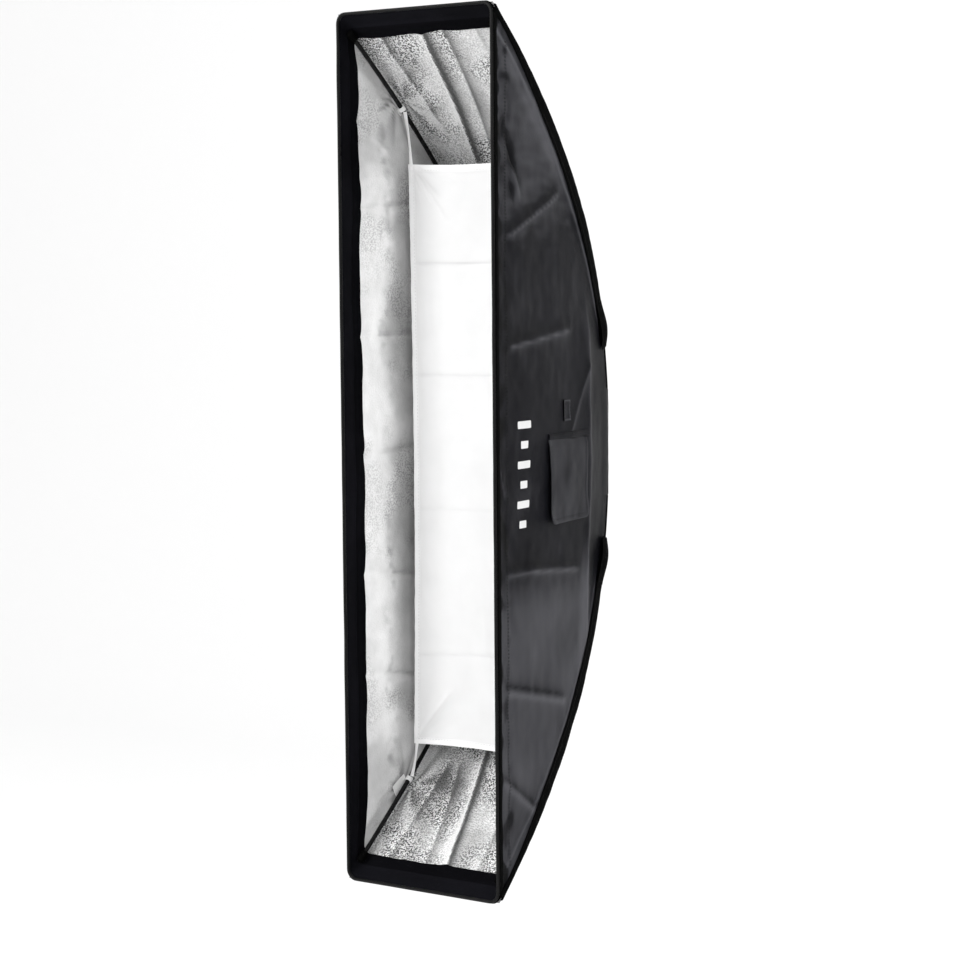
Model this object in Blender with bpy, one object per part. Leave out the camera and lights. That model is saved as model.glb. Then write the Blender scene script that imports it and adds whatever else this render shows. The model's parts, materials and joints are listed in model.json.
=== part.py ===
"""Strip softbox on a rotating speedring: fabric shell, four flexed rods, inner baffle and strobe adapter.

Metres, +Z up. The open front faces -Y and the strobe sits on the +Y side. The long side runs along Z.
The origin is the centre of the plane where the adapter's rear flange meets the strobe.
Most shapes are described by their depth, the distance behind the front edge, by x and by z.
"""

import math

import bmesh
import bpy
from mathutils import Matrix, Vector

# Shell
HALF_WIDTH = 0.1525  # at the front
HALF_HEIGHT = 0.711
BACK_HALF_WIDTH = 0.0884
SHELL_DEPTH = 0.444  # front edge to the apex of the back curve
MOUNT_DEPTH = 0.445  # front edge to the strobe's mounting plane
TAPER = ((0.28, 1), (0.58, 2), (0.14, 6))  # share and power of each term of the side's taper
FABRIC = 0.002
GAP = 0.0005
SEAM_STEP = 0.05  # height between the rows of the curved panels
PANEL_END = 0.70  # height where the side panels end
FRONT_DEPTH = 0.0032  # the panels start this far behind the front edge
SIDE_COLUMNS = (0, 0.15, 0.3, 0.44, 0.55, 0.66, 0.76, 0.86, 0.94, 1)
BACK_FLAT_DEPTH = 0.4365  # the back is flat round the speedring
BACK_FLAT_HALF_HEIGHT = 0.0925

# Access opening in the right side panel, as columns and heights of the panel's grid
ACCESS_COLUMNS = (3, 5)
ACCESS_LOW = -0.10
ACCESS_HIGH = 0.0

# Rear windows over and under the speedring
WINDOW_HIGH = 0.225
WINDOW_SHARE = 0.62  # of the half width

# Lip round the front
LIP_DEPTH = 0.047
END_LIP_DEPTH = 0.039
LIP_THICK = 0.0015
BINDING_RADIUS = 0.0025
BINDING_CORNER = 0.016

# Rod sleeves and their end keepers
SLEEVE_GAP = 0.0008
SLEEVE_THICK = 0.0018
SLEEVE_LEG = 0.024
SLEEVE_HIGH = 0.69
SLEEVE_LOW = 0.175
KEEPER_THICK = 0.004
KEEPER_LEG = 0.026
KEEPER_HIGH = 0.245
KEEPER_LOW = 0.165

# Rods and their pockets
ROD_RADIUS = 0.0038
ROD_INSET = 0.014
ROD_HIGH = 0.688
ROD_LOW = 0.16  # below this height the rod bends into its socket
POCKET_LENGTH = 0.014
POCKET_OUTER = 0.0066
POCKET_INNER = 0.0045
POCKET_END = 0.004

# Speedring
RING_FRONT = 0.4280
RING_BACK = 0.4402
RING_INNER = 0.0612
RING_OUTER = 0.078
RING_STEPS = 48
COLLAR_HOLE = 0.0795
COLLAR_HALF_WIDTH = 0.0905
COLLAR_HALF_HEIGHT = 0.0905
COLLAR_FRONT = 0.4370
COLLAR_BACK = 0.4388

# Strobe adapter insert
INSERT_BORE = 0.045
INSERT_NECK = 0.0530
INSERT_BARREL = 0.0608
INSERT_FLANGE = 0.0635
INSERT_SPIGOT = 0.0470
SPIGOT_END = 0.455
RETAINER_FRONT = 0.4236
RETAINER_BACK = 0.4276
RETAINER_INNER = 0.0535
LUG_OUTER = 0.0525
LUG_FRONT = 0.4490
LUG_BACK = 0.4545
LUG_HALF_ANGLE = math.radians(13)

# Rod sockets and their thumbscrews
SOCKET_START = (0.0505, 0.0515)  # x and z
SOCKET_DIRECTION = Vector((0.343, 0, 0.939)).normalized()
SOCKET_LENGTH = 0.034
SOCKET_RADIUS = 0.0075
SOCKET_BORE = 0.0043
SCREW_HOLE = 0.0024
SCREW_SHANK = 0.0020
KNOB_LOBES = 8

# Rotation lock knob
LOCK_RADIUS = 0.0722  # from the axis
LOCK_HOLE = 0.0026
LOCK_HOLE_END = 0.4320
LOCK_SHANK = 0.0022
LOCK_HEAD = 0.0075

# Inner baffle, hung by four elastic ties
BAFFLE_DEPTH = 0.1488
BAFFLE_THICK = 0.0014
BAFFLE_HALF_WIDTH = 0.120
BAFFLE_HALF_HEIGHT = 0.488
BAFFLE_SAG = 0.015
TIE_WIDTH = 0.008
TIE_THICK = 0.0012
TIE_HEIGHT = 0.575  # height along the rod where the ties hold on
LOOP_INNER = 0.0045
LOOP_OUTER = 0.0065
LOOP_LENGTH = 0.010

# Access flap on the right side
FLAP_FRONT = 0.172
FLAP_BACK = 0.320
FLAP_TOP = 0.020
FLAP_BOTTOM = -0.118
FLAP_STANDOFF = 0.0032
FLAP_THICK = 0.0016
STRIP_THICK = 0.0010
STRIP_LOW = -0.1165
STRIP_HIGH = -0.1025
STRIP_MARGIN = 0.012
PATCH_FRONT = 0.225
PATCH_BACK = 0.249
PATCH_LOW = 0.048
PATCH_HIGH = 0.083

# Rear flaps over the windows
REAR_FLAP_HIGH = 0.235
REAR_FLAP_LOW = 0.0935
REAR_FLAP_THICK = 0.0018
REAR_FLAP_MARGIN = 0.028

SIDES = {"right": 1, "left": -1}
ENDS = {"top": 1, "bottom": -1}


def back_depth(z):
    return SHELL_DEPTH * (1 - (z / HALF_HEIGHT) ** 2)


def half_width(depth):
    share = depth / SHELL_DEPTH
    taper = sum(weight * share**power for weight, power in TAPER)
    return HALF_WIDTH - (HALF_WIDTH - BACK_HALF_WIDTH) * taper


def back_normal(z):
    """Outward normal of the back curve, as depth and z."""
    return Vector((1, 2 * SHELL_DEPTH * z / HALF_HEIGHT**2)).normalized()


def off_curve(z, out):
    """Depth and z of the point this far outside the back curve at height z."""
    normal = back_normal(z)
    return back_depth(z) + out * normal[0], z + out * normal[1]


def place(x, depth, z):
    return Vector((x, depth - MOUNT_DEPTH, z))


def heights(low, high):
    """Heights from low to high, at every row of the curved panels between them."""
    first = math.floor(low / SEAM_STEP) + 1
    last = math.ceil(high / SEAM_STEP) - 1
    return [low, *(SEAM_STEP * i for i in range(first, last + 1)), high]


def material(name, colour, roughness, metallic=0.0):
    made = bpy.data.materials.new(name)
    made.use_nodes = True
    shader = made.node_tree.nodes["Principled BSDF"]
    shader.inputs["Base Color"].default_value = (*colour, 1)
    shader.inputs["Roughness"].default_value = roughness
    shader.inputs["Metallic"].default_value = metallic
    made.diffuse_color = (*colour, 1)
    return made


def add_object(name, mesh_or_curve, slot, origin=None):
    """Links a new object whose data is in world space, and moves its origin where a joint needs it."""
    obj = bpy.data.objects.new(name, mesh_or_curve)
    obj.data.materials.append(bpy.data.materials[slot])
    if origin is not None:
        obj.data.transform(Matrix.Translation(-origin))
        obj.location = origin
    bpy.context.scene.collection.objects.link(obj)
    return obj


def finish(name, mesh, slot, origin=None, smooth=True):
    bmesh.ops.recalc_face_normals(mesh, faces=mesh.faces)
    data = bpy.data.meshes.new(name)
    mesh.to_mesh(data)
    mesh.free()
    obj = add_object(name, data, slot, origin)
    if smooth:
        data.shade_smooth()
        data.set_sharp_from_angle(angle=math.radians(35))
    return obj


def sheet(name, outer, inner, slot, skip=frozenset(), origin=None):
    """A closed sheet between two grids of points. Cells in skip, as row and column, are left open."""
    mesh = bmesh.new()
    rows, columns = len(outer), len(outer[0])
    faces = [[[mesh.verts.new(p) for p in row] for row in grid] for grid in (outer, inner)]
    cells = {(r, c) for r in range(rows - 1) for c in range(columns - 1)} - set(skip)
    edge_steps = {
        (-1, 0): ((0, 0), (0, 1)),
        (1, 0): ((1, 0), (1, 1)),
        (0, -1): ((0, 0), (1, 0)),
        (0, 1): ((0, 1), (1, 1)),
    }
    for r, c in sorted(cells):
        for side in faces:
            mesh.faces.new((side[r][c], side[r + 1][c], side[r + 1][c + 1], side[r][c + 1]))
        for (dr, dc), ends in edge_steps.items():
            if (r + dr, c + dc) in cells:
                continue
            a, b = ((r + i, c + j) for i, j in ends)
            mesh.faces.new((faces[0][a[0]][a[1]], faces[0][b[0]][b[1]], faces[1][b[0]][b[1]], faces[1][a[0]][a[1]]))
    loose = [v for v in mesh.verts if not v.link_faces]
    bmesh.ops.delete(mesh, geom=loose, context="VERTS")
    return finish(name, mesh, slot, origin)


def sweep(name, sections, slot, closed=False, origin=None):
    """A solid through the sections, each one a loop of points. A closed sweep joins its last to its first."""
    mesh = bmesh.new()
    loops = [[mesh.verts.new(p) for p in section] for section in sections]
    pairs = list(zip(loops, loops[1:] + loops[:1] if closed else loops[1:]))
    for first, second in pairs:
        for i in range(len(first)):
            j = (i + 1) % len(first)
            mesh.faces.new((first[i], first[j], second[j], second[i]))
    if not closed:
        mesh.faces.new(loops[0])
        mesh.faces.new(loops[-1])
    return finish(name, mesh, slot, origin)


def turned(name, profile, slot, steps=RING_STEPS):
    """A solid of revolution about the Y axis. The profile is a loop of radius and depth."""
    angles = [2 * math.pi * i / steps for i in range(steps)]
    sections = [[place(r * math.cos(a), d, r * math.sin(a)) for r, d in profile] for a in angles]
    return sweep(name, sections, slot, closed=True)


def circle(centre, axis, radius, sides, lobes=0, lobe_height=0.0):
    """Points round an axis. Lobes make a scalloped outline."""
    turn = axis.to_track_quat("Z", "Y")
    points = []
    for i in range(sides):
        angle = 2 * math.pi * i / sides
        r = radius + lobe_height * math.cos(lobes * angle)
        points.append(centre + turn @ Vector((r * math.cos(angle), r * math.sin(angle), 0)))
    return points


def bore(obj, start, end, radius, sides=16):
    """Cuts a round hole from start to end with a hidden cutter."""
    axis = (end - start).normalized()
    sections = [circle(p, axis, radius, sides) for p in (start, end)]
    cutter = sweep(f"{obj.name}_cutter_{len(obj.modifiers)}", sections, "black_metal")
    cutter.hide_render = True
    cutter.display_type = "WIRE"
    cut = obj.modifiers.new("hole", "BOOLEAN")
    cut.object = cutter
    cut.operation = "DIFFERENCE"
    cut.solver = "EXACT"


def make_side_panel(name, side):
    rows = heights(-PANEL_END, PANEL_END)
    outer, inner = [], []
    for z in rows:
        end = min(back_depth(z), BACK_FLAT_DEPTH)
        depths = [FRONT_DEPTH + share * (end - FRONT_DEPTH) for share in SIDE_COLUMNS]
        outer.append([place(side * half_width(d), d, z) for d in depths])
        inner.append([place(side * (half_width(d) - FABRIC), d, z) for d in depths])
    skip = set()
    if side > 0:
        open_rows = [i for i, z in enumerate(rows[:-1]) if ACCESS_LOW - 1e-6 < z < ACCESS_HIGH - 1e-6]
        skip = {(r, c) for r in open_rows for c in range(*ACCESS_COLUMNS)}
    sheet(name, outer, inner, "black_nylon", skip)


def make_end_panel(name, end):
    """Top or bottom panel, along the back curve, with the window over the speedring left open."""
    front = HALF_HEIGHT * math.sqrt(1 - FRONT_DEPTH / SHELL_DEPTH)
    rows = sorted({*heights(BACK_FLAT_HALF_HEIGHT, front), WINDOW_HIGH})
    outer, inner = [], []
    for z in rows:
        x = half_width(back_depth(z)) - FABRIC - GAP
        for grid, out in ((outer, 0), (inner, -FABRIC)):
            depth, height = off_curve(z, out)
            depth = max(depth, FRONT_DEPTH)
            grid.append([place(x * share, depth, end * height) for share in (-1, -WINDOW_SHARE, WINDOW_SHARE, 1)])
    skip = {(r, 1) for r, z in enumerate(rows[:-1]) if z < WINDOW_HIGH - 1e-6}
    sheet(name, outer, inner, "black_nylon", skip)


def make_back_collar():
    """Flat fabric frame that closes the shell round the speedring."""
    sections = []
    for i in range(RING_STEPS):
        angle = 2 * math.pi * i / RING_STEPS
        c, s = math.cos(angle), math.sin(angle)
        reach = min(COLLAR_HALF_WIDTH / max(abs(c), 1e-9), COLLAR_HALF_HEIGHT / max(abs(s), 1e-9))
        corners = ((COLLAR_HOLE, COLLAR_FRONT), (COLLAR_HOLE, COLLAR_BACK), (reach, COLLAR_BACK), (reach, COLLAR_FRONT))
        sections.append([place(r * c, depth, r * s) for r, depth in corners])
    sweep("back_collar", sections, "black_tape", closed=True)


def make_side_lip(name, side):
    """Hook-and-loop lip inside the front edge of a side panel."""
    depths = (FRONT_DEPTH, LIP_DEPTH / 2, LIP_DEPTH)
    margin = 0.0110
    outer, inner = [], []
    for end in (-1, 1):
        for grid, inset in ((outer, FABRIC + GAP), (inner, FABRIC + GAP + LIP_THICK)):
            limit = [HALF_HEIGHT * math.sqrt(1 - d / SHELL_DEPTH) - margin for d in depths]
            grid.append([place(side * (half_width(d) - inset), d, end * z) for d, z in zip(depths, limit)])
    sheet(name, outer, inner, "lip_loop")


def make_end_lip(name, end):
    """Hook-and-loop lip inside the front edge of the top or bottom panel."""
    back = HALF_HEIGHT * math.sqrt(1 - END_LIP_DEPTH / SHELL_DEPTH)
    outer, inner = [], []
    for z in (back, 0.69, PANEL_END, 0.705):
        x = half_width(back_depth(z)) - FABRIC - 2 * GAP
        for grid, out in ((outer, -FABRIC - GAP), (inner, -FABRIC - GAP - LIP_THICK)):
            depth, height = off_curve(z, out)
            grid.append([place(x * share, depth, end * height) for share in (-1, 1)])
    sheet(name, outer, inner, "lip_loop")


def make_front_binding():
    """Piping sewn round the front edge, with rounded corners."""
    x_in = HALF_WIDTH - BINDING_RADIUS - BINDING_CORNER
    z_in = HALF_HEIGHT - BINDING_RADIUS - BINDING_CORNER
    sections = []
    for quarter, (sx, sz) in enumerate(((1, 1), (-1, 1), (-1, -1), (1, -1))):
        for step in range(5):
            angle = math.pi / 2 * (quarter + step / 4)
            outward = Vector((math.cos(angle), 0, math.sin(angle)))
            centre = place(sx * x_in, 0, sz * z_in) + outward * BINDING_CORNER
            along = outward.cross(Vector((0, 1, 0)))
            sections.append(circle(centre, along, BINDING_RADIUS, 6))
    sweep("front_binding", sections, "piping", closed=True)


def corner_section(z, side, end, gap, thick, leg):
    """An L section lying outside a seam, with its outer corner rounded."""
    round_off = 0.3 * thick + gap
    outline = (
        (gap, -leg),
        (gap, gap),
        (-leg, gap),
        (-leg, gap + thick),
        (-thick, gap + thick),
        (round_off + 0.5 * thick, round_off + 0.5 * thick),
        (gap + thick, -thick),
        (gap + thick, -leg),
    )
    points = []
    for out, proud in outline:
        depth, height = off_curve(z, out)
        points.append(place(side * (half_width(depth) + proud), depth, end * height))
    return points


def make_rod_sleeve(name, side, end):
    rows = heights(SLEEVE_LOW, SLEEVE_HIGH)
    sections = [corner_section(z, side, end, SLEEVE_GAP, SLEEVE_THICK, SLEEVE_LEG) for z in rows]
    sweep(name, sections, "black_tape")


def make_rod_keeper(name, side, end):
    """Tab that folds over the rear end of a sleeve."""
    gap = 2 * SLEEVE_GAP + SLEEVE_THICK
    rows = heights(KEEPER_LOW, KEEPER_HIGH)
    sections = [corner_section(z, side, end, gap, KEEPER_THICK, KEEPER_LEG) for z in rows]
    sweep(name, sections, "black_tape")


def rod_point(z, side, end):
    depth, height = off_curve(z, -ROD_INSET)
    return place(side * (half_width(depth) - ROD_INSET), depth, end * height)


def rod_direction(z, side, end):
    return (rod_point(z + 0.004, side, end) - rod_point(z - 0.004, side, end)).normalized()


def socket_line(side, end):
    """Start point and direction of a socket, on the ring's front face."""
    x, z = SOCKET_START
    start = place(side * x, RING_FRONT - 0.0003 - SOCKET_RADIUS, end * z)
    return start, Vector((side * SOCKET_DIRECTION[0], 0, end * SOCKET_DIRECTION[2]))


def make_rod(name, side, end):
    start, along = socket_line(side, end)
    leave = start + along * SOCKET_LENGTH
    enter = rod_point(ROD_LOW, side, end)
    onward = rod_direction(ROD_LOW, side, end)
    reach = (enter - leave).length
    points = [start + along * 0.003, leave]
    for t in (0.25, 0.5, 0.75):
        h_start, h_end = 2 * t**3 - 3 * t**2 + 1, 3 * t**2 - 2 * t**3
        h_out, h_in = t**3 - 2 * t**2 + t, t**3 - t**2
        points.append(leave * h_start + along * (h_out * reach) + enter * h_end + onward * (h_in * reach))
    steps = 18
    points += [rod_point(ROD_LOW + (ROD_HIGH - ROD_LOW) * i / steps, side, end) for i in range(steps + 1)]
    curve = bpy.data.curves.new(name, "CURVE")
    curve.dimensions = "3D"
    curve.bevel_depth = ROD_RADIUS
    curve.bevel_resolution = 2
    curve.use_fill_caps = True
    spline = curve.splines.new("POLY")
    spline.points.add(len(points) - 1)
    for spot, point in zip(spline.points, points):
        spot.co = (*point, 1)
    add_object(name, curve, "rod")


def make_corner_pocket(name, side, end):
    """Blind fabric pocket that holds the front end of a rod."""
    tip = rod_point(ROD_HIGH, side, end)
    along = rod_direction(ROD_HIGH, side, end)
    stops = (
        (POCKET_LENGTH, POCKET_INNER),
        (POCKET_LENGTH, POCKET_OUTER),
        (-POCKET_END, POCKET_OUTER),
        (-POCKET_END - 0.002, 0.6 * POCKET_OUTER),
    )
    outer = [circle(tip - along * back, along, radius, 12) for back, radius in stops]
    floor = circle(tip + along * 0.0006, along, POCKET_INNER, 12)
    sweep(name, [floor, *outer], "black_tape")


def make_tie_loop(name, side, end):
    """Elastic loop round a rod that a baffle tie hooks to."""
    centre = rod_point(TIE_HEIGHT, side, end)
    along = rod_direction(TIE_HEIGHT, side, end)
    half = LOOP_LENGTH / 2
    rings = ((-half, LOOP_INNER), (-half, LOOP_OUTER), (half, LOOP_OUTER), (half, LOOP_INNER))
    sections = [circle(centre + along * shift, along, radius, 12) for shift, radius in rings]
    sweep(name, sections, "white_elastic", closed=True)


def make_speedring():
    profile = (
        (RING_INNER, RING_FRONT),
        (RING_OUTER - 0.001, RING_FRONT),
        (RING_OUTER, RING_FRONT + 0.001),
        (RING_OUTER, RING_BACK - 0.001),
        (RING_OUTER - 0.001, RING_BACK),
        (RING_INNER, RING_BACK),
    )
    ring = turned("speedring_body", profile, "black_metal")
    bore(ring, place(0, LOCK_HOLE_END, -LOCK_RADIUS), place(0, RING_BACK + 0.01, -LOCK_RADIUS), LOCK_HOLE, 12)


def make_adapter():
    insert = (
        (INSERT_BORE, RETAINER_FRONT),
        (INSERT_NECK, RETAINER_FRONT),
        (INSERT_NECK, RETAINER_BACK + 0.0003),
        (INSERT_BARREL, RETAINER_BACK + 0.0003),
        (INSERT_BARREL, RING_BACK + 0.0004),
        (INSERT_FLANGE, RING_BACK + 0.0004),
        (INSERT_FLANGE, MOUNT_DEPTH),
        (INSERT_SPIGOT, MOUNT_DEPTH),
        (INSERT_SPIGOT, SPIGOT_END),
        (INSERT_BORE, SPIGOT_END),
    )
    turned("adapter_insert", insert, "bare_metal")
    retainer = (
        (RETAINER_INNER, RETAINER_FRONT),
        (INSERT_FLANGE, RETAINER_FRONT),
        (INSERT_FLANGE, RETAINER_BACK),
        (RETAINER_INNER, RETAINER_BACK),
    )
    turned("retainer_ring", retainer, "bare_metal")
    front = Vector((0, -1, 0))
    for i in range(3):
        angle = 2 * math.pi * i / 3 + math.pi / 2
        middle = place(0.0585 * math.cos(angle), RETAINER_FRONT - 0.0003, 0.0585 * math.sin(angle))
        head = [circle(middle + front * up, front, r, 12) for up, r in ((0, 0.003), (0.0014, 0.003), (0.0022, 0.0018))]
        sweep(f"retainer_screw_{i + 1}", head, "screw_steel")
        sections = []
        for step in range(5):
            a = angle + math.pi / 3 + LUG_HALF_ANGLE * (step / 2 - 1)
            ring = ((INSERT_SPIGOT + 0.0003, LUG_FRONT), (LUG_OUTER, LUG_FRONT), (LUG_OUTER, LUG_BACK))
            ring = (*ring, (INSERT_SPIGOT + 0.0003, LUG_BACK))
            sections.append([place(r * math.cos(a), d, r * math.sin(a)) for r, d in ring])
        sweep(f"bayonet_lug_{i + 1}", sections, "bare_metal")


def knob(name, foot, axis, stops, slot):
    """A knob with a round shank and a scalloped head. Stops are distance, radius and lobe height."""
    sections = [circle(foot + axis * far, axis, r, 2 * KNOB_LOBES, KNOB_LOBES, lobe) for far, r, lobe in stops]
    sweep(name, sections, slot, origin=foot)


def make_socket(side, end, corner):
    start, along = socket_line(side, end)
    ends = ((0, 0.9), (0.001, 1), (SOCKET_LENGTH - 0.001, 1), (SOCKET_LENGTH, 0.9))
    sections = [circle(start + along * far, along, SOCKET_RADIUS * share, 20) for far, share in ends]
    socket = sweep(f"rod_socket_{corner}", sections, "bare_metal")
    bore(socket, start - along * 0.005, start + along * (SOCKET_LENGTH + 0.005), SOCKET_BORE)
    middle = start + along * SOCKET_LENGTH / 2
    front = Vector((0, -1, 0))
    bore(socket, middle, middle + front * 0.012, SCREW_HOLE, 12)
    foot = middle + front * (ROD_RADIUS + 0.0004)
    stops = (
        (0, SCREW_SHANK, 0),
        (0.0058, SCREW_SHANK, 0),
        (0.0060, 0.0045, 0),
        (0.0085, 0.0045, 0),
        (0.0090, 0.0078, 0.0006),
        (0.0165, 0.0078, 0.0006),
        (0.0175, 0.0066, 0.0003),
    )
    knob(f"rod_lock_screw_{corner}", foot, front, stops, "black_plastic")


def make_lock_knob():
    foot = place(0, LOCK_HOLE_END + 0.0006, -LOCK_RADIUS)
    back = Vector((0, 1, 0))
    stops = (
        (0, LOCK_SHANK, 0),
        (0.0088, LOCK_SHANK, 0),
        (0.0090, 0.0050, 0),
        (0.0108, 0.0050, 0),
        (0.0112, LOCK_HEAD - 0.0006, 0.0005),
        (0.0196, LOCK_HEAD - 0.0006, 0.0005),
        (0.0204, LOCK_HEAD - 0.0018, 0.0003),
    )
    knob("rotation_lock_knob", foot, back, stops, "black_plastic")


def make_baffle():
    grids = []
    for depth in (BAFFLE_DEPTH, BAFFLE_DEPTH + BAFFLE_THICK):
        rows = []
        for end in (-1, 0, 1):
            z = end * BAFFLE_HALF_HEIGHT - BAFFLE_SAG
            rows.append([place(x * BAFFLE_HALF_WIDTH, depth, z) for x in (-1, 0, 1)])
        grids.append(rows)
    sheet("inner_baffle", grids[0], grids[1], "white_diffuser", origin=place(0, BAFFLE_DEPTH, -BAFFLE_SAG))


def make_baffle_tie(name, side, end):
    """Flat elastic from a baffle corner to the loop on the rod."""
    edge = end * (BAFFLE_HALF_HEIGHT + GAP) - BAFFLE_SAG
    start = place(side * (BAFFLE_HALF_WIDTH - 0.007), BAFFLE_DEPTH + BAFFLE_THICK / 2, edge)
    loop = rod_point(TIE_HEIGHT, side, end)
    stop = loop - Vector((side * (LOOP_OUTER + 0.0055), 0.001, end * 0.004))
    half = Vector((TIE_WIDTH / 2, 0, 0))
    thick = Vector((0, TIE_THICK / 2, 0))
    sections = []
    for t in (0, 0.25, 0.5, 0.75, 1):
        centre = start.lerp(stop, t)
        sections.append([centre - half - thick, centre + half - thick, centre + half + thick, centre - half + thick])
    sweep(name, sections, "white_elastic")


def flap_frame():
    """Where the access flap's plane runs: its front and back points on the panel, and its outward direction."""
    front = place(half_width(FLAP_FRONT), FLAP_FRONT, 0)
    back = place(half_width(FLAP_BACK), FLAP_BACK, 0)
    along = (back - front).normalized()
    outward = Vector((along[1], -along[0], 0))
    depths = [FLAP_FRONT + (FLAP_BACK - FLAP_FRONT) * i / 20 for i in range(21)]
    bulge = max((place(half_width(d), d, 0) - front).dot(outward) for d in depths)
    return front + outward * bulge, back + outward * bulge, outward


def make_access_flap():
    front, back, outward = flap_frame()
    inset = (back - front).normalized() * STRIP_MARGIN

    def plate(name, a, b, low, high, near, far, slot, origin=None):
        grids = []
        for away in (near, far):
            base = outward * away
            grids.append([[p + base + Vector((0, 0, z)) for p in (a, a.lerp(b, 0.5), b)] for z in (low, high)])
        sheet(name, grids[0], grids[1], slot, origin=origin)

    hinge = front.lerp(back, 0.5) + outward * (FLAP_STANDOFF + FLAP_THICK / 2) + Vector((0, 0, FLAP_TOP))
    near, far = FLAP_STANDOFF, FLAP_STANDOFF + FLAP_THICK
    plate("access_flap", front, back, FLAP_BOTTOM, FLAP_TOP, near, far, "black_nylon", hinge)
    near = FLAP_STANDOFF - 0.0004 - STRIP_THICK
    strip = (front + inset, back - inset, STRIP_LOW, STRIP_HIGH)
    plate("access_hook_strip", *strip, near, near + STRIP_THICK, "hook_tape", hinge)
    near = 0.0004
    plate("access_loop_strip", *strip, near, near + STRIP_THICK, "hook_tape")


def make_patch():
    grids = []
    for proud in (SLEEVE_GAP, SLEEVE_GAP + 0.001):
        depths = (PATCH_FRONT, (PATCH_FRONT + PATCH_BACK) / 2, PATCH_BACK)
        rows = [[place(half_width(d) + proud, d, z) for d in depths] for z in (PATCH_LOW, PATCH_HIGH)]
        grids.append(rows)
    sheet("stitched_patch", grids[0], grids[1], "black_tape")


def make_rear_flap(name, end):
    """Curved flap over the window beside the speedring, hinged at its outer stitched edge."""
    rows = heights(REAR_FLAP_LOW, REAR_FLAP_HIGH)
    grids = []
    for out in (SLEEVE_GAP, SLEEVE_GAP + REAR_FLAP_THICK):
        grid = []
        for z in rows:
            x = half_width(back_depth(z)) - REAR_FLAP_MARGIN
            depth, height = off_curve(z, out)
            grid.append([place(x * share, depth, end * height) for share in (-1, 1)])
        grids.append(grid)
    depth, height = off_curve(REAR_FLAP_HIGH, SLEEVE_GAP + REAR_FLAP_THICK / 2)
    sheet(name, grids[0], grids[1], "black_nylon", origin=place(0, depth, end * height))


def make_materials():
    material("black_nylon", (0.035, 0.035, 0.042), 0.62)
    material("black_tape", (0.010, 0.010, 0.012), 0.80)
    material("lip_loop", (0.012, 0.012, 0.015), 0.90)
    material("piping", (0.060, 0.060, 0.066), 0.60)
    material("rod", (0.012, 0.012, 0.012), 0.35)
    material("white_elastic", (0.85, 0.85, 0.84), 0.75)
    material("white_diffuser", (0.90, 0.90, 0.90), 0.80)
    material("hook_tape", (0.015, 0.015, 0.016), 0.85)
    material("black_metal", (0.030, 0.030, 0.032), 0.45, 0.8)
    material("bare_metal", (0.60, 0.60, 0.62), 0.35, 1.0)
    material("screw_steel", (0.45, 0.45, 0.46), 0.30, 1.0)
    material("black_plastic", (0.020, 0.020, 0.022), 0.45)


def main():
    for obj in list(bpy.data.objects):
        bpy.data.objects.remove(obj, do_unlink=True)
    make_materials()
    for side_name, side in SIDES.items():
        make_side_panel(f"side_panel_{side_name}", side)
        make_side_lip(f"lip_{side_name}", side)
    for end_name, end in ENDS.items():
        make_end_panel(f"{end_name}_panel", end)
        make_end_lip(f"lip_{end_name}", end)
        make_rear_flap(f"rear_flap_{end_name}", end)
    for end_name, end in ENDS.items():
        for side_name, side in SIDES.items():
            corner = f"{end_name}_{side_name}"
            make_rod_sleeve(f"rod_sleeve_{corner}", side, end)
            make_rod_keeper(f"rod_keeper_{corner}", side, end)
            make_rod(f"rod_{corner}", side, end)
            make_corner_pocket(f"corner_pocket_{corner}", side, end)
            make_tie_loop(f"tie_loop_{corner}", side, end)
            make_baffle_tie(f"baffle_tie_{corner}", side, end)
            make_socket(side, end, corner)
    make_back_collar()
    make_front_binding()
    make_speedring()
    make_adapter()
    make_lock_knob()
    make_baffle()
    make_access_flap()
    make_patch()


main()
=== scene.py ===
"""Looks of the strip softbox: wrinkled nylon, silver lining, seams, baffle, ties, metals, light and camera.

Everything is in metres in the CAD's frame. Depth is the distance behind the front edge, towards +Y.
"""

import json
import math

import bpy
import numpy as np
from mathutils import Matrix, Vector


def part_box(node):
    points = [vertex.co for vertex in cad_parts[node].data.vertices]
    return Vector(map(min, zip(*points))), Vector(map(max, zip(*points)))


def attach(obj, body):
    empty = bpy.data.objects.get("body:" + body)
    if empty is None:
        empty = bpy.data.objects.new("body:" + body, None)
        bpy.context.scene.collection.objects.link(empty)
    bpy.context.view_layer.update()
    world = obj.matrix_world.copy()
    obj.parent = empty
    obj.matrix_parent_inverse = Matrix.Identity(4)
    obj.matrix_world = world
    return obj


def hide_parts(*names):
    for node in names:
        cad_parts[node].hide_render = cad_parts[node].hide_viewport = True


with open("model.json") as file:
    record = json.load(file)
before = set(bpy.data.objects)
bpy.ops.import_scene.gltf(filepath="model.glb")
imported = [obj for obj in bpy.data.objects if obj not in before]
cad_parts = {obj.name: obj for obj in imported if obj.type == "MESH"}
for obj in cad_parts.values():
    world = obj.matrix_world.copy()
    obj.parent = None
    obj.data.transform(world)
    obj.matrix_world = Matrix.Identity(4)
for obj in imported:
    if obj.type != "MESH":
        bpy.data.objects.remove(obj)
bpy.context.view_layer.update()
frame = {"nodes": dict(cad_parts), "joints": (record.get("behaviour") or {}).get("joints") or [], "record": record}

SIDES = {"right": 1, "left": -1}
ENDS = {"top": 1, "bottom": -1}
CORNERS = [(f"{e}_{s}", SIDES[s], ENDS[e]) for e in ENDS for s in SIDES]

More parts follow.
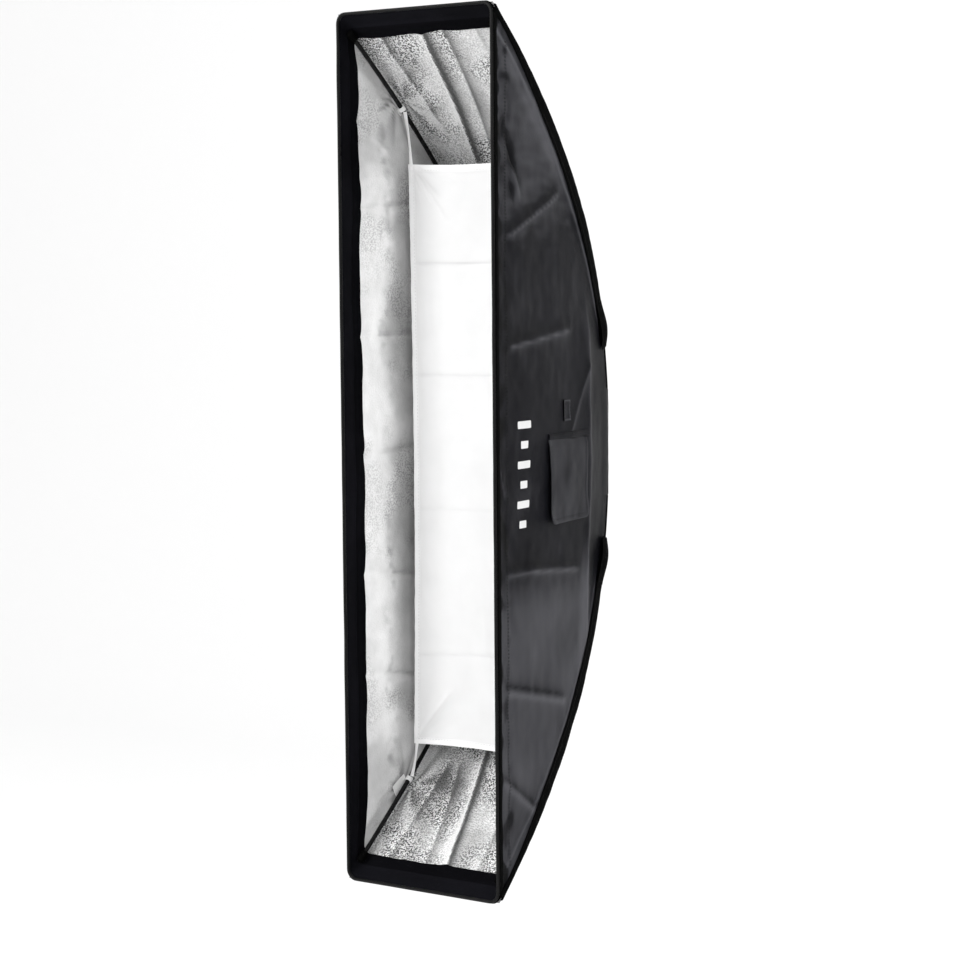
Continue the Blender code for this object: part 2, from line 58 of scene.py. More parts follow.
# Shell, as in the CAD
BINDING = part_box("front_binding")
FRONT_Y = (BINDING[0].y + BINDING[1].y) / 2
HALF_WIDTH = BINDING[1].x
HALF_HEIGHT = 0.711
BACK_HALF_WIDTH = 0.0884
SHELL_DEPTH = 0.444
TAPER = ((0.28, 1), (0.58, 2), (0.14, 6))
FRONT_DEPTH = 0.0032
BACK_FLAT_DEPTH = 0.4365
BACK_FLAT = 0.0925  # half height of the flat back round the speedring
PANEL_END = 0.7
CLOTH = 0.0011
SEAM_TRIM = 0.0005  # the panels stop this far from the seam, under the sleeve
CELL = 0.005  # grid spacing of the side panels along their height
END_CELL = 0.0035  # and of the end panels
COLUMNS = 101  # grid points across a panel

# Openings in the shell
ACCESS_SHARE = (0.44, 0.66)  # share of the panel's depth
ACCESS_Z = (-0.1, 0.0)
FLAP_SHIFT = 0.006  # the cloth flap hangs this far forward of its hard backing
FLAP_CORNER = 0.009
WINDOW_HIGH = 0.225
WINDOW_SHARE = 0.62

# Front edge
LIP_DEPTH = 0.047
END_LIP_DEPTH = 0.039
LOOP_START = 0.0261  # the lip's loop tape begins at this depth
CORNER_RADIUS = 0.016
PIPING_RADIUS = 0.0028

# Seams, collar and ties
SLEEVE_RADIUS = 0.0085
HIGHLIGHT = 0.029  # distance from the seam of the ridge where the sleeve's inner edge presses on a side panel
ROD_INSET = 0.014
COLLAR_HOLE = 0.0792
PLEATS = 34
TIE_HEIGHT = 0.575
TIE_THICK = 0.0011
TIE_SPOT = (0.146, 0.578, 0.128)  # depth, height and x of the point where a tie pulls at the corner
STITCH_LENGTH, STITCH_GAP, THREAD_RADIUS = 0.0036, 0.0022, 0.00042

# Fold lines that packing left in the panels: start, end, width and height. A negative height is a valley.
# In the side panels the points are depth and z
RIGHT_FOLDS = (
    ((0.03, 0.345), (0.23, 0.425), 0.007, 0.0045),
    ((0.028, 0.174), (0.265, 0.199), 0.006, 0.0035),
    ((0.02, -0.186), (0.15, -0.188), 0.007, 0.004),
    ((0.11, -0.188), (0.3, -0.203), 0.003, 0.0016),
    ((0.018, -0.371), (0.24, -0.42), 0.006, 0.003),
    ((0.004, -0.508), (0.13, -0.59), 0.01, 0.0045),
    ((0.03, 0.52), (0.075, 0.44), 0.01, -0.005),
    ((0.05, 0.47), (0.085, 0.4), 0.007, 0.0035),
    ((0.006, 0.02), (0.028, -0.07), 0.008, 0.003),
    ((0.004, 0.488), (0.04, 0.54), 0.006, -0.004),
    ((0.024, 0.512), (0.048, 0.476), 0.004, 0.003),
    ((0.042, 0.44), (0.066, 0.396), 0.004, -0.003),
    ((0.004, 0.298), (0.034, 0.27), 0.006, -0.003),
    ((0.004, -0.09), (0.034, -0.124), 0.006, -0.003),
    ((0.34, 0.15), (0.24, 0.01), 0.01, 0.002),
)
LEFT_FOLDS = (
    ((0.02, 0.402), (0.2, 0.398), 0.006, 0.003),
    ((0.02, 0.19), (0.2, 0.18), 0.006, 0.003),
    ((0.02, -0.007), (0.2, -0.01), 0.007, 0.0028),
    ((0.02, -0.206), (0.2, -0.214), 0.006, 0.003),
    ((0.02, -0.375), (0.2, -0.387), 0.006, 0.003),
    ((0.02, 0.56), (0.13, 0.48), 0.01, 0.004),
    ((0.3, 0.26), (0.2, 0.1), 0.01, 0.003),
    ((0.31, -0.25), (0.21, -0.08), 0.01, 0.003),
)
SIDE_FOLDS = {1: RIGHT_FOLDS, -1: LEFT_FOLDS}
# In the end panels they are x and height
END_FOLDS = {
    "top": (
        ((-0.009, 0.7), (-0.043, 0.46), 0.006, -0.008),
        ((0.03, 0.7), (-0.012, 0.47), 0.01, 0.004),
        ((-0.096, 0.69), (-0.074, 0.52), 0.012, -0.0045),
        ((0.09, 0.68), (0.06, 0.48), 0.012, 0.003),
        ((-0.05, 0.44), (0.05, 0.25), 0.012, 0.003),
    ),
    "bottom": (
        ((0.026, 0.7), (-0.014, 0.49), 0.006, -0.008),
        ((-0.02, 0.69), (-0.06, 0.52), 0.01, 0.003),
        ((-0.098, 0.68), (-0.07, 0.52), 0.012, -0.0035),
        ((0.08, 0.68), (0.06, 0.48), 0.012, 0.003),
        ((0.05, 0.44), (-0.05, 0.25), 0.012, 0.003),
    ),
}
# Across the baffle: height, tilt and strength
BAFFLE_FOLDS = ((0.311, 0.002, 1.0), (0.124, 0.001, 0.6), (-0.345, 0.006, 0.4), (-0.1, 0.003, 0.25))

# Camera and light
CAMERA_PLACE = (2.253, -3.103 + FRONT_Y, 0.286)
CAMERA_YAW, CAMERA_PITCH, CAMERA_ROLL = (math.radians(a) for a in (-34.4, -4.93, -0.46))
CAMERA_LENS = 89.35
LIGHTS = (  # name, place, width, height and power
    ("key", (-1.4, -3.6, 1.6), 1.4, 2.0, 98),
    ("fill", (2.8, -2.4, 1.6), 0.9, 1.6, 14),
    ("strip", (2.4, 2.0, 1.0), 0.35, 2.2, 12),
)
WORLD_LIGHT = 0.95
FLOOR_Z = -1.25


# Shape of the shell


def back_depth(z):
    return SHELL_DEPTH * (1 - (z / HALF_HEIGHT) ** 2)


def back_slope(z):
    """How steeply the back curve's depth falls with height."""
    return 2 * SHELL_DEPTH * z / HALF_HEIGHT**2


def half_height(depth):
    return HALF_HEIGHT * np.sqrt(1 - np.asarray(depth) / SHELL_DEPTH)


def half_width(depth):
    share = np.clip(np.asarray(depth) / SHELL_DEPTH, -0.02, 1.02)
    return HALF_WIDTH - (HALF_WIDTH - BACK_HALF_WIDTH) * sum(k * share**n for k, n in TAPER)


def off_curve(z, out):
    """Depth and height of points this far outside the back curve."""
    slope = back_slope(z)
    norm = np.sqrt(1 + slope**2)
    return back_depth(z) + out / norm, z + out * slope / norm


def seam_distance(depth, z):
    """About how far a point of a side panel is from the curved seam."""
    z = np.abs(z)
    return (back_depth(z) - depth) / np.sqrt(1 + back_slope(z) ** 2)


def xyz(x, depth, z):
    x, depth, z = np.broadcast_arrays(x, depth, z)
    return np.stack([x, depth + FRONT_Y, z], axis=-1).astype(float)


def unit(v):
    return v / np.linalg.norm(v, axis=-1, keepdims=True)


# Wrinkles


def smooth_step(x):
    x = np.clip(x, 0, 1)
    return x * x * (3 - 2 * x)


def rise(x, start, width):
    """A smooth step from 0 at the start to 1 after this width."""
    return smooth_step((x - start) / width)


def fall(x, end, width):
    """A smooth step from 1 down to 0 at the end, over this width."""
    return smooth_step((end - x) / width)


def bell(x, middle, width):
    return np.exp(-(((x - middle) / width) ** 2))


def lattice_noise(u, v, lattice):
    n = len(lattice)
    i, j = np.floor(u).astype(int), np.floor(v).astype(int)
    a, b = smooth_step(u - i), smooth_step(v - j)
    i0, j0, i1, j1 = i % n, j % n, (i + 1) % n, (j + 1) % n
    low = lattice[i0, j0] * (1 - a) + lattice[i1, j0] * a
    high = lattice[i0, j1] * (1 - a) + lattice[i1, j1] * a
    return low * (1 - b) + high * b


def soft_noise(u, v, size, seed):
    """Smooth random field from about -1 to 1 with features of this size. Three turned grids hide its cells."""
    u, v = np.broadcast_arrays(np.asarray(u, float), np.asarray(v, float))
    random = np.random.default_rng(seed)
    total = 0
    for turn in (0.35, 1.42, 2.51):
        across, up = u * math.cos(turn) - v * math.sin(turn), u * math.sin(turn) + v * math.cos(turn)
        total = total + lattice_noise(across / size + 40.3, up / size + 40.7, random.uniform(-1, 1, (97, 97)))
    return total / 1.9


def crease(u, v, start, end, width, height, fade=0.03):
    """A straight fold line between two points, sharp along its middle."""
    start, end = np.array(start, float), np.array(end, float)
    length = math.hypot(*(end - start))
    along = (end - start) / length
    t = (u - start[0]) * along[0] + (v - start[1]) * along[1]
    off = (u - start[0]) * along[1] - (v - start[1]) * along[0]
    return height * np.exp(-np.abs(off) / width) * smooth_step(t / fade) * fall(t, length, fade)


def radiating(u, v, centre, count, reach, height, seed):
    """Pull wrinkles that radiate from a point and fade within reach."""
    du, dv = u - centre[0], v - centre[1]
    far = np.hypot(du, dv)
    angle = np.arctan2(dv, du)
    wobble = soft_noise(angle * 0.3, far, 0.06, seed)
    return height * np.sin(count * angle + 2 * wobble) * np.exp(-far / reach) * smooth_step(far / 0.012)


def side_pull(depth, z, reach, height):
    return radiating(depth, np.abs(z), TIE_SPOT[:2], 7, reach, height, 62)


def end_pull(x, z, reach, height):
    return radiating(np.abs(x), z, TIE_SPOT[2:] + TIE_SPOT[1:2], 7, reach, height, 61)


def ridge_depth(z):
    """Depth of the long ridge that the speedring's rods press into a side panel."""
    return 0.328 - 0.012 * rise(np.abs(z), 0.05, 0.3)


def side_relief(side, depth, z):
    """How far a side panel stands outside its smooth form."""
    rim = rise(seam_distance(depth, z), 0.012, 0.03) * rise(depth, 0.006, 0.035)
    rim = rim * fall(np.abs(z), PANEL_END, 0.06)
    seed = 11 if side > 0 else 23
    relief = 0.0035 * soft_noise(depth, z, 0.16, seed) + 0.0016 * soft_noise(depth, z * 0.6, 0.05, seed + 1)
    relief += 0.0006 * soft_noise(depth, z, 0.018, seed + 2) - 0.0025
    if side < 0:
        relief += 0.0028 * soft_noise(depth, z, 0.075, seed + 5)
    relief += sum(crease(depth, z, *fold) for fold in SIDE_FOLDS[side])
    relief += side_pull(depth, z, 0.04, 0.0022)
    window = fall(z, 0.27, 0.1) * rise(z, -0.38, 0.1)
    relief += 0.0065 * np.exp(-np.abs(depth - ridge_depth(z)) / 0.02) * window
    if side > 0:
        relief += 0.0016 * bell(seam_distance(depth, z), HIGHLIGHT + 0.001, 0.003) * (np.abs(z) > 0.18)
    crumple = bell(depth, 0.035, 0.03) * (0.5 + 0.5 * soft_noise(depth, z, 0.12, seed + 3))
    relief += 0.0022 * crumple * soft_noise(depth * 1.5, z, 0.022, seed + 4)
    return np.clip(relief * rim, -0.012, 0.009)


def side_x(side, depth, z, lift=0.0):
    return side * (half_width(depth) + side_relief(side, depth, z) + lift)


def end_relief(end_name, x, z):
    """How far an end panel stands outside its smooth form."""
    seed = 37 if end_name == "top" else 41
    edge = (half_width(back_depth(z)) - np.abs(x)) / 0.04
    rim = smooth_step(edge) * fall(z, 0.694, 0.05) * rise(z, BACK_FLAT, 0.05)
    relief = 0.0035 * soft_noise(x, z, 0.11, seed) + 0.0018 * soft_noise(x, z * 0.5, 0.035, seed + 1) - 0.002
    relief += sum(crease(x, z, *fold) for fold in END_FOLDS[end_name])
    relief += end_pull(x, z, 0.04, 0.0022)
    return np.clip(relief * rim, -0.012, 0.008)


# Painted light and shade: pale or bright where it is up to 1, dark where it is down to -1


def side_painted_light(side, depth, z):
    """Painted highlights and shade on the nylon: pale along its folds, its ridge and the seam's edge, dark beside
    them, along the front edge and in dents near it.
    """
    folds = SIDE_FOLDS[side]
    pale = 0.85 if side > 0 else 0.45
    painted_light = sum(crease(depth, z + 0.002, a, b, 0.005, pale if high > 0 else -pale) for a, b, _, high in folds)
    painted_light -= sum(crease(depth, z - 0.01, a, b, 0.007, 0.8 * pale) for a, b, _, _ in folds)
    ridge = ridge_depth(z) + 0.002
    window = fall(z, 0.26, 0.1) * rise(z, -0.42, 0.12)
    painted_light += 0.75 * np.exp(-np.abs(depth - ridge) / 0.005) * window
    painted_light -= 0.45 * rise(depth, ridge, 0.02) * window
    inside = seam_distance(depth, z)
    line = bell(inside, HIGHLIGHT, 0.0036)
    glow = bell(inside, 0.04, 0.016) * rise(z, 0.4, 0.08) * fall(z, 0.66, 0.05)
    painted_light += 0.9 * line * rise(z, 0.16, 0.08) + 0.35 * line * rise(-z, 0.16, 0.08) + 0.45 * glow
    # Painted light: lighter towards the bottom and the top
    painted_light += 0.52 * rise(-z, 0.17, 0.1) + 0.34 * rise(z, 0.33, 0.15)
    painted_light += 0.55 * bell(depth, ridge - 0.012, 0.02) * rise(-z, 0.12, 0.12)
    painted_light += 0.16 * soft_noise(depth * 0.35, z, 0.01, 22) * rise(z, 0.28, 0.1)
    painted_light += 0.2 * soft_noise(depth * 0.6, z, 0.07, 17) + 0.1 * soft_noise(depth * 1.6, z * 0.5, 0.02, 18)
    reach = 0.009 + 0.028 * np.abs(soft_noise(z * 0, z, 0.04, 19)) + 0.004 * soft_noise(z * 0, z, 0.09, 20)
    # Painted shade along the front edge
    painted_light -= 2.2 * fall(depth, reach, 0.01)
    dents = bell(depth, 0.03, 0.016) * (soft_noise(depth * 0.8, z, 0.02, 21) - 0.15)
    return np.clip(painted_light - 1.3 * np.maximum(dents, 0), -1, 1)


def lining_painted_light(side, depth, z):
    """Painted reflections on a side panel's lining: a bright front and a duller back, which meet along a ragged
    crease, with painted highlights and shade beside its folds and pull wrinkles.
    """
    saw = np.abs((z / 0.15 + 0.3 + 0.3 * soft_noise(z * 0, z, 0.3, 70)) % 1.0 - 0.55)
    border = 0.085 + 0.04 * saw + 0.006 * soft_noise(z * 0, z, 0.03, 72)
    painted_light = 0.24 - 0.34 * rise(depth, border, 0.026) - 0.2 * rise(z, 0.28, 0.12)
    broken = bell(depth, border + 0.016, 0.016) * soft_noise(depth * 0.7, z, 0.008, 71)
    painted_light += 0.3 * broken + 0.25 * bell(depth, border, 0.006)
    for start, end, _, _ in SIDE_FOLDS[side]:
        tilt = 0.01 * np.sign(start[1] + 0.01)
        line = ((start[0], start[1] - tilt), (end[0], end[1] + tilt))
        painted_light += crease(depth, z + 0.003, *line, 0.005, 0.35) - crease(depth, z - 0.005, *line, 0.005, 0.3)
    painted_light += side_pull(depth, z, 0.03, 0.9) + 0.16 * soft_noise(depth, z * 0.5, 0.045, 73)
    return np.clip(painted_light, -1, 1)


def end_painted_light(end_name, x, z):
    """Painted highlights and shade: bright and dark bands beside the folds of an end panel's lining."""
    painted_light = 0.45 * soft_noise(x, z * 0.3, 0.035, 51 if end_name == "top" else 57) - 0.15
    if end_name == "top":
        painted_light += 0.22 * rise(x, 0.01, 0.05)
    else:
        painted_light -= 0.75 * bell(x, -0.06, 0.04) * bell(z, 0.575, 0.05)
    for start, end, _, height in END_FOLDS[end_name]:
        strength = min(1.0, abs(height) / 0.007) ** 1.4
        middle = start[0] + (end[0] - start[0]) * (start[1] - z) / (start[1] - end[1])
        near = smooth_step((start[1] - z) / 0.02 + 0.6) * rise(z, end[1], 0.04)
        bright = np.exp(-np.maximum(middle - x, 0) / 0.014) * smooth_step((middle - x) / 0.006 + 0.5)
        dark = np.exp(-np.maximum(x - middle, 0) / 0.01) * smooth_step((x - middle) / 0.006 + 0.5)
        painted_light += strength * near * (1.3 * bright - 1.7 * dark)
    return np.clip(painted_light + end_pull(x, z, 0.035, 1.2), -1, 1)


def set_painted_light(piece, values, inner=None):
    """Stores the painted light and shade of each point. A sheet's inner layer takes the same values unless it has
    its own.
    """
    values = np.ravel(values)
    if inner is None:
        values = np.tile(values, len(piece.data.vertices) // len(values))
    else:
        values = np.concatenate([values, np.ravel(inner)])
    layer = piece.data.attributes.new("painted_light", "FLOAT", "POINT")
    layer.data.foreach_set("value", values.astype(np.float32))


# Meshes


def add_object(name, data):
    obj = bpy.data.objects.new(name, data)
    bpy.context.scene.collection.objects.link(obj)
    return obj


def new_piece(name, vertices, faces, materials, indices=None, uv=None, sharp=40, body="softbox"):
    mesh = bpy.data.meshes.new(name)
    mesh.from_pydata(np.asarray(vertices, float).reshape(-1, 3).tolist(), [], [list(f) for f in faces])
    for key in materials:
        mesh.materials.append(M[key])
    if indices is not None:
        mesh.polygons.foreach_set("material_index", np.asarray(indices, np.int32))
    corner = np.zeros(len(mesh.loops), np.int32)
    mesh.loops.foreach_get("vertex_index", corner)
    layer = mesh.uv_layers.new(name="cloth")
    layer.data.foreach_set("uv", np.asarray(uv, np.float32)[corner].ravel())
    mesh.validate()
    mesh.update()
    mesh.shade_smooth()
    mesh.set_sharp_from_angle(angle=math.radians(sharp))
    piece = add_object(name, mesh)
    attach(piece, body)
    return piece


def dress(piece, slot, *nodes):
    """Hides the CAD's nodes that a piece stands in for. The piece and its slot are not used."""
    if nodes:
        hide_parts(*nodes)


def spans(points, axis):
    """Running length along one axis of a grid of points."""
    steps = np.linalg.norm(np.diff(points, axis=axis), axis=-1)
    lead = np.zeros_like(np.take(steps, [0], axis=axis))
    return np.cumsum(np.concatenate([lead, steps], axis=axis), axis=axis)


def flat_layout(points):
    return np.stack([spans(points, 0), spans(points, 1)], axis=-1).reshape(-1, 2)


def grid_quads(r, c, rows, columns, flat, away):
    """The faces that start at these rows and columns of a grid of points, turned to face away."""
    up, nxt = (r + 1) % rows, (c + 1) % columns
    quads = np.stack([r * columns + c, up * columns + c, up * columns + nxt, r * columns + nxt], axis=1)
    a, b, d = (flat[quads[:, k]] for k in (0, 1, 3))
    return quads[:, ::-1] if (np.cross(b - a, d - a) * away[quads[:, 0]]).sum() < 0 else quads


def layered(name, outer, inner, materials, keep=None, closed=False, body="softbox", sharp=50):
    """A closed sheet between two grids of points. Materials are for the outside, the inside and the rim."""
    rows, columns = outer.shape[:2]
    wide = columns if closed else columns - 1
    r, c = np.nonzero(np.ones((rows - 1, wide), bool) if keep is None else keep)
    flat, gap = outer.reshape(-1, 3), (outer - inner).reshape(-1, 3)
    quads = grid_quads(r, c, rows, columns, flat, gap)
    count = rows * columns
    edges = np.concatenate([quads[:, [i, (i + 1) % 4]] for i in range(4)])
    forward = {(int(p), int(q)) for p, q in edges}
    rim = sorted((q, p, p + count, q + count) for p, q in forward if (q, p) not in forward)
    faces = quads.tolist() + (quads[:, ::-1] + count).tolist() + rim
    indices = [0] * len(quads) + [1] * len(quads) + [2] * len(rim)
    vertices = np.concatenate([flat, inner.reshape(-1, 3)])
    layout = np.tile(flat_layout(outer), (2, 1))
    return new_piece(name, vertices, faces, materials, indices, layout, sharp, body)


def swept(name, sections, material, closed=False, body="softbox", sharp=50):
    """A solid through a grid of section points, each row one closed section."""
    sections = np.asarray(sections, float)
    rows, columns = sections.shape[:2]
    r, c = np.nonzero(np.ones((rows if closed else rows - 1, columns), bool))
    flat = sections.reshape(-1, 3)
    spokes = (sections - sections.mean(axis=1, keepdims=True)).reshape(-1, 3)
    faces = grid_quads(r, c, rows, columns, flat, spokes).tolist()
    if not closed:
        used = {(f[i], f[(i + 1) % 4]) for f in faces for i in range(4)}
        for cap in (list(range(columns)), list(range((rows - 1) * columns, rows * columns))):
            faces.append(cap[::-1] if (cap[0], cap[1]) in used else cap)
    return new_piece(name, flat, faces, [material], None, flat_layout(sections), sharp, body)


def circle(angle, one, two):
    """Points of a unit circle in the plane of two directions."""
    return np.outer(np.cos(angle), one) + np.outer(np.sin(angle), two)


def tube(name, path, radius, material, sides=12, closed=False):
    """A round tube along a path, with one radius or one for each point."""
    path = np.asarray(path, float)
    ahead = unit(np.roll(path, -1, axis=0) - np.roll(path, 1, axis=0) if closed else np.gradient(path, axis=0))
    up = np.array((1.0, 0, 0)) if abs(ahead[0][0]) < 0.8 else np.array((0, 1.0, 0))
    angles = 2 * np.pi * np.arange(sides) / sides
    rings = []
    for p, t, r in zip(path, ahead, np.broadcast_to(radius, len(path))):
        up = unit(up - t * (up @ t))
        rings.append(p + r * circle(angles, up, np.cross(t, up)))
    return swept(name, rings, material, closed)


def rounded_loop(half_w, half_h, radius, step=0.006, corner_steps=8):
    """Points round a rectangle with rounded corners in x and z, anticlockwise seen from the front."""
    across, upward = (max(2, round(2 * (half - CORNER_RADIUS) / step)) for half in (HALF_WIDTH, HALF_HEIGHT))
    w, h = half_w - radius, half_h - radius
    points = []
    for k, (sx, sz, count) in enumerate(((1, 1, across), (-1, 1, upward), (-1, -1, across), (1, -1, upward))):
        turn = math.pi / 2 * k + math.pi / 2 * np.arange(corner_steps + 1) / corner_steps
        spoke = radius * np.stack([np.cos(turn), np.sin(turn)], axis=1)
        arc = (sx * w, sz * h) + spoke
        nxt = ((-1, 1), (-1, -1), (1, -1), (1, 1))[k]
        after = (nxt[0] * w, nxt[1] * h) + spoke[-1]
        t = (np.arange(1, count) / count)[:, None]
        points += [arc, arc[-1] * (1 - t) + after * t]
    return np.concatenate(points)


# Materials


def add_node(tree, kind, inputs=None, **settings):
    made = tree.nodes.new(kind)
    for key, value in settings.items():
        setattr(made, key, value)
    for key, value in (inputs or {}).items():
        if isinstance(value, bpy.types.NodeSocket):
            tree.links.new(value, made.inputs[key])
        else:
            made.inputs[key].default_value = value
    return made


def grey(value, blue=None):
    return (value, value, value if blue is None else blue, 1)


def start_material(name, colour, roughness, metallic=0.0, specular=0.5, sheen=0.0):
    material = bpy.data.materials.new(name)
    material.use_nodes = True
    material.diffuse_color = colour
    tree = material.node_tree
    shader = tree.nodes["Principled BSDF"]
    values = {"Base Color": colour, "Roughness": roughness, "Metallic": metallic,
              "Specular IOR Level": specular, "Sheen Weight": sheen, "Sheen Roughness": 0.5}
    for key, value in values.items():
        shader.inputs[key].default_value = value
    return material, tree, shader


def place_in(tree):
    return add_node(tree, "ShaderNodeTexCoord").outputs["Object"]


def ramp(tree, value, low, high, colour_low, colour_high):
    made = add_node(tree, "ShaderNodeValToRGB", {"Fac": value})
    for stop, position, colour in zip(made.color_ramp.elements, (low, high), (colour_low, colour_high)):
        stop.position, stop.color = position, colour
    return made.outputs["Color"]


def noise_at(tree, vector, size, detail=3.0, rough=0.5):
    settings = {"Vector": vector, "Scale": 1 / size, "Detail": detail, "Roughness": rough}
    return add_node(tree, "ShaderNodeTexNoise", settings).outputs["Fac"]


def cells_at(tree, vector, size):
    made = add_node(tree, "ShaderNodeTexVoronoi", {"Vector": vector, "Scale": 1 / size, "Randomness": 1.0})
    return made.outputs["Distance"]


def to_range(tree, value, low, high, start=0.0, stop=1.0):
    ends = {"Value": value, "From Min": start, "From Max": stop, "To Min": low, "To Max": high}
    return add_node(tree, "ShaderNodeMapRange", ends).outputs["Result"]


def mixed_colour(tree, share, low, high):
    return add_node(tree, "ShaderNodeMix", {0: share, 6: low, 7: high}, data_type="RGBA").outputs[2]


def join(tree, kind, *values):
    return add_node(tree, "ShaderNodeMath", dict(enumerate(values)), operation=kind).outputs[0]


def finish_shader(tree, shader, colour, rough, height, strength, distance):
    """Links what varies over the surface: the colour, the roughness if any, and the bump."""
    made = add_node(tree, "ShaderNodeBump", {"Height": height, "Strength": strength, "Distance": distance})
    tree.links.new(colour, shader.inputs["Base Color"])
    tree.links.new(made.outputs["Normal"], shader.inputs["Normal"])
    if rough:
        tree.links.new(rough, shader.inputs["Roughness"])


def weave(tree, pitch):
    """Crossing threads, from 0 to 1, along both directions of the cloth."""
    vector = add_node(tree, "ShaderNodeUVMap", uv_map="cloth").outputs["UV"]
    settings = {"Vector": vector, "Scale": 0.314 / pitch, "Distortion": 0.4, "Detail": 1.0}
    waves = [add_node(tree, "ShaderNodeTexWave", settings, bands_direction=d) for d in ("X", "Y")]
    return join(tree, "MULTIPLY", *(wave.outputs["Fac"] for wave in waves))


def paint_light_and_shade(tree, colour, pale, dark):
    """Paints light and shade: mixes a colour towards pale or dark by the painted light stored in the cloth."""
    painted_light = add_node(tree, "ShaderNodeAttribute", attribute_name="painted_light").outputs["Fac"]
    for kind, sign, target in (("MAXIMUM", 1.0, pale), ("MINIMUM", -1.0, dark)):
        share = join(tree, "MULTIPLY", join(tree, kind, painted_light, 0.0), sign)
        colour = mixed_colour(tree, share, colour, target)
    return colour


CRINKLE = 5.0  # height of the nylon's fine crinkles, against its weave


def cloth_material(name, dark, light, roughness, pitch, strength, specular=0.4, sheen=0.0, painted_sheen=None):
    material, tree, shader = start_material(name, dark, roughness, 0, specular, sheen)
    place = place_in(tree)
    broad = noise_at(tree, place, 0.12, 4.0, 0.6)
    fine = noise_at(tree, place, 0.004, 2.0)
    threads = weave(tree, pitch)
    colour = ramp(tree, join(tree, "MULTIPLY_ADD", threads, 0.35, broad), 0.35, 1.0, dark, light)
    height = join(tree, "ADD", threads, join(tree, "MULTIPLY", fine, 0.8))
    # Painted sheen and shade: the stored values mix the colour towards a pale sheen colour and a near-black shade
    # colour
    if painted_sheen:
        colour = paint_light_and_shade(tree, colour, painted_sheen, grey(0.0006, 0.001))
        crinkles = noise_at(tree, place, 0.016, 5.0, 0.65)
        height = join(tree, "ADD", height, join(tree, "MULTIPLY", crinkles, CRINKLE))
    rough = to_range(tree, broad, roughness - 0.08, roughness + 0.08)
    finish_shader(tree, shader, colour, rough, height, strength, 0.0003)
    return material


def silver_material(name, roughness, relief, painted_glint_share):
    """Silver-coated cloth with an embossed pebble. Black and white speckle in its base colour, mixed in by
    patches, is painted glint; the stored values add painted reflections, bright and dark.
    """
    material, tree, shader = start_material(name, grey(0.85), roughness, 0.42)
    place = place_in(tree)
    grains = noise_at(tree, place, 0.0026, 2.0, 0.7)
    patches = noise_at(tree, place, 0.05, 3.0, 0.6)
    cells = join(tree, "MULTIPLY", cells_at(tree, place, 0.003), 0.35)
    speckle = join(tree, "MULTIPLY_ADD", grains, 1.0, cells)
    painted_glints = ramp(tree, speckle, 0.62, 0.72, grey(0.015), grey(1.0))
    smooth = ramp(tree, patches, 0.35, 0.65, grey(0.8), grey(0.98))
    amount = to_range(tree, noise_at(tree, place, 0.11, 2.0, 0.6), *painted_glint_share, 0.4, 0.6)
    colour = paint_light_and_shade(tree, mixed_colour(tree, amount, smooth, painted_glints), grey(1.0), grey(0.1))
    rough = to_range(tree, patches, roughness - 0.06, roughness + 0.06)
    finish_shader(tree, shader, colour, rough, speckle, 1.0, relief)
    return material


def diffuser_material():
    material, tree, shader = start_material("white_diffuser", grey(0.92), 0.85, 0, 0.2, 0.1)
    white = ramp(tree, noise_at(tree, place_in(tree), 0.1), 0.3, 0.7, grey(0.9), grey(0.96))
    # Painted shade: the stored values darken the white along folds and creases
    colour = paint_light_and_shade(tree, white, grey(1.0), grey(0.45))
    finish_shader(tree, shader, colour, None, weave(tree, 0.001), 0.25, 0.0002)
    for key, value in (("Weight", 0.7), ("Radius", (1.0, 1.0, 1.0)), ("Scale", 0.004)):
        shader.inputs[f"Subsurface {key}"].default_value = value
    return material


def hook_material():
    material, tree, shader = start_material("hook_and_loop", grey(0.008), 0.9, 0, 0.2)
    cells = cells_at(tree, place_in(tree), 0.0016)
    finish_shader(tree, shader, ramp(tree, cells, 0.1, 0.7, grey(0.016), grey(0.004)), None, cells, 0.9, 0.0008)
    return material


def metal_material(name, shade, roughness, metallic, size, strength, stretch=(1, 1, 1), specular=0.5):
    """Metal or moulded plastic with fine grain and a little uneven polish."""
    material, tree, shader = start_material(name, grey(shade), roughness, metallic, specular)
    place = place_in(tree)
    scaled = add_node(tree, "ShaderNodeVectorMath", {0: place, 1: stretch}, operation="MULTIPLY").outputs[0]
    grain = noise_at(tree, scaled, size, 4.0, 0.7)
    polish = noise_at(tree, place, 0.012)
    colour = ramp(tree, polish, 0.3, 0.75, grey(0.8 * shade), grey(min(1, 1.2 * shade + 0.004)))
    rough = to_range(tree, grain, roughness - 0.1, roughness + 0.12)
    finish_shader(tree, shader, colour, rough, grain, strength, 0.0002)
    return material


CLOTHS = {  # name, dark and light colour, roughness, thread pitch, bump, specular level, sheen
    "tape": ("black_tape", grey(0.001), grey(0.0028), 0.8, 0.0016, 0.6, 0.02),
    "lip": ("lip_loop", grey(0.0026, 0.0036), grey(0.007, 0.0096), 0.75, 0.0024, 0.8, 0.03),
    "loop": ("loop_pile", grey(0.0018, 0.0024), grey(0.0048, 0.0062), 0.95, 0.0019, 0.9, 0.02),
    "piping": ("piping", grey(0.003), grey(0.008), 0.3, 0.0012, 0.5, 0.12),
    "elastic": ("white_elastic", grey(0.8), grey(0.96), 0.75, 0.0011, 0.7, 0.3, 0.1),
    "thread": ("black_thread", grey(0.006), grey(0.014), 0.55, 0.0006, 0.3, 0.15),
    "white_thread": ("white_thread", grey(0.6), grey(0.85), 0.6, 0.0006, 0.3),
    "print": ("white_print", grey(0.72), grey(0.88), 0.55, 0.0012, 0.3),
}
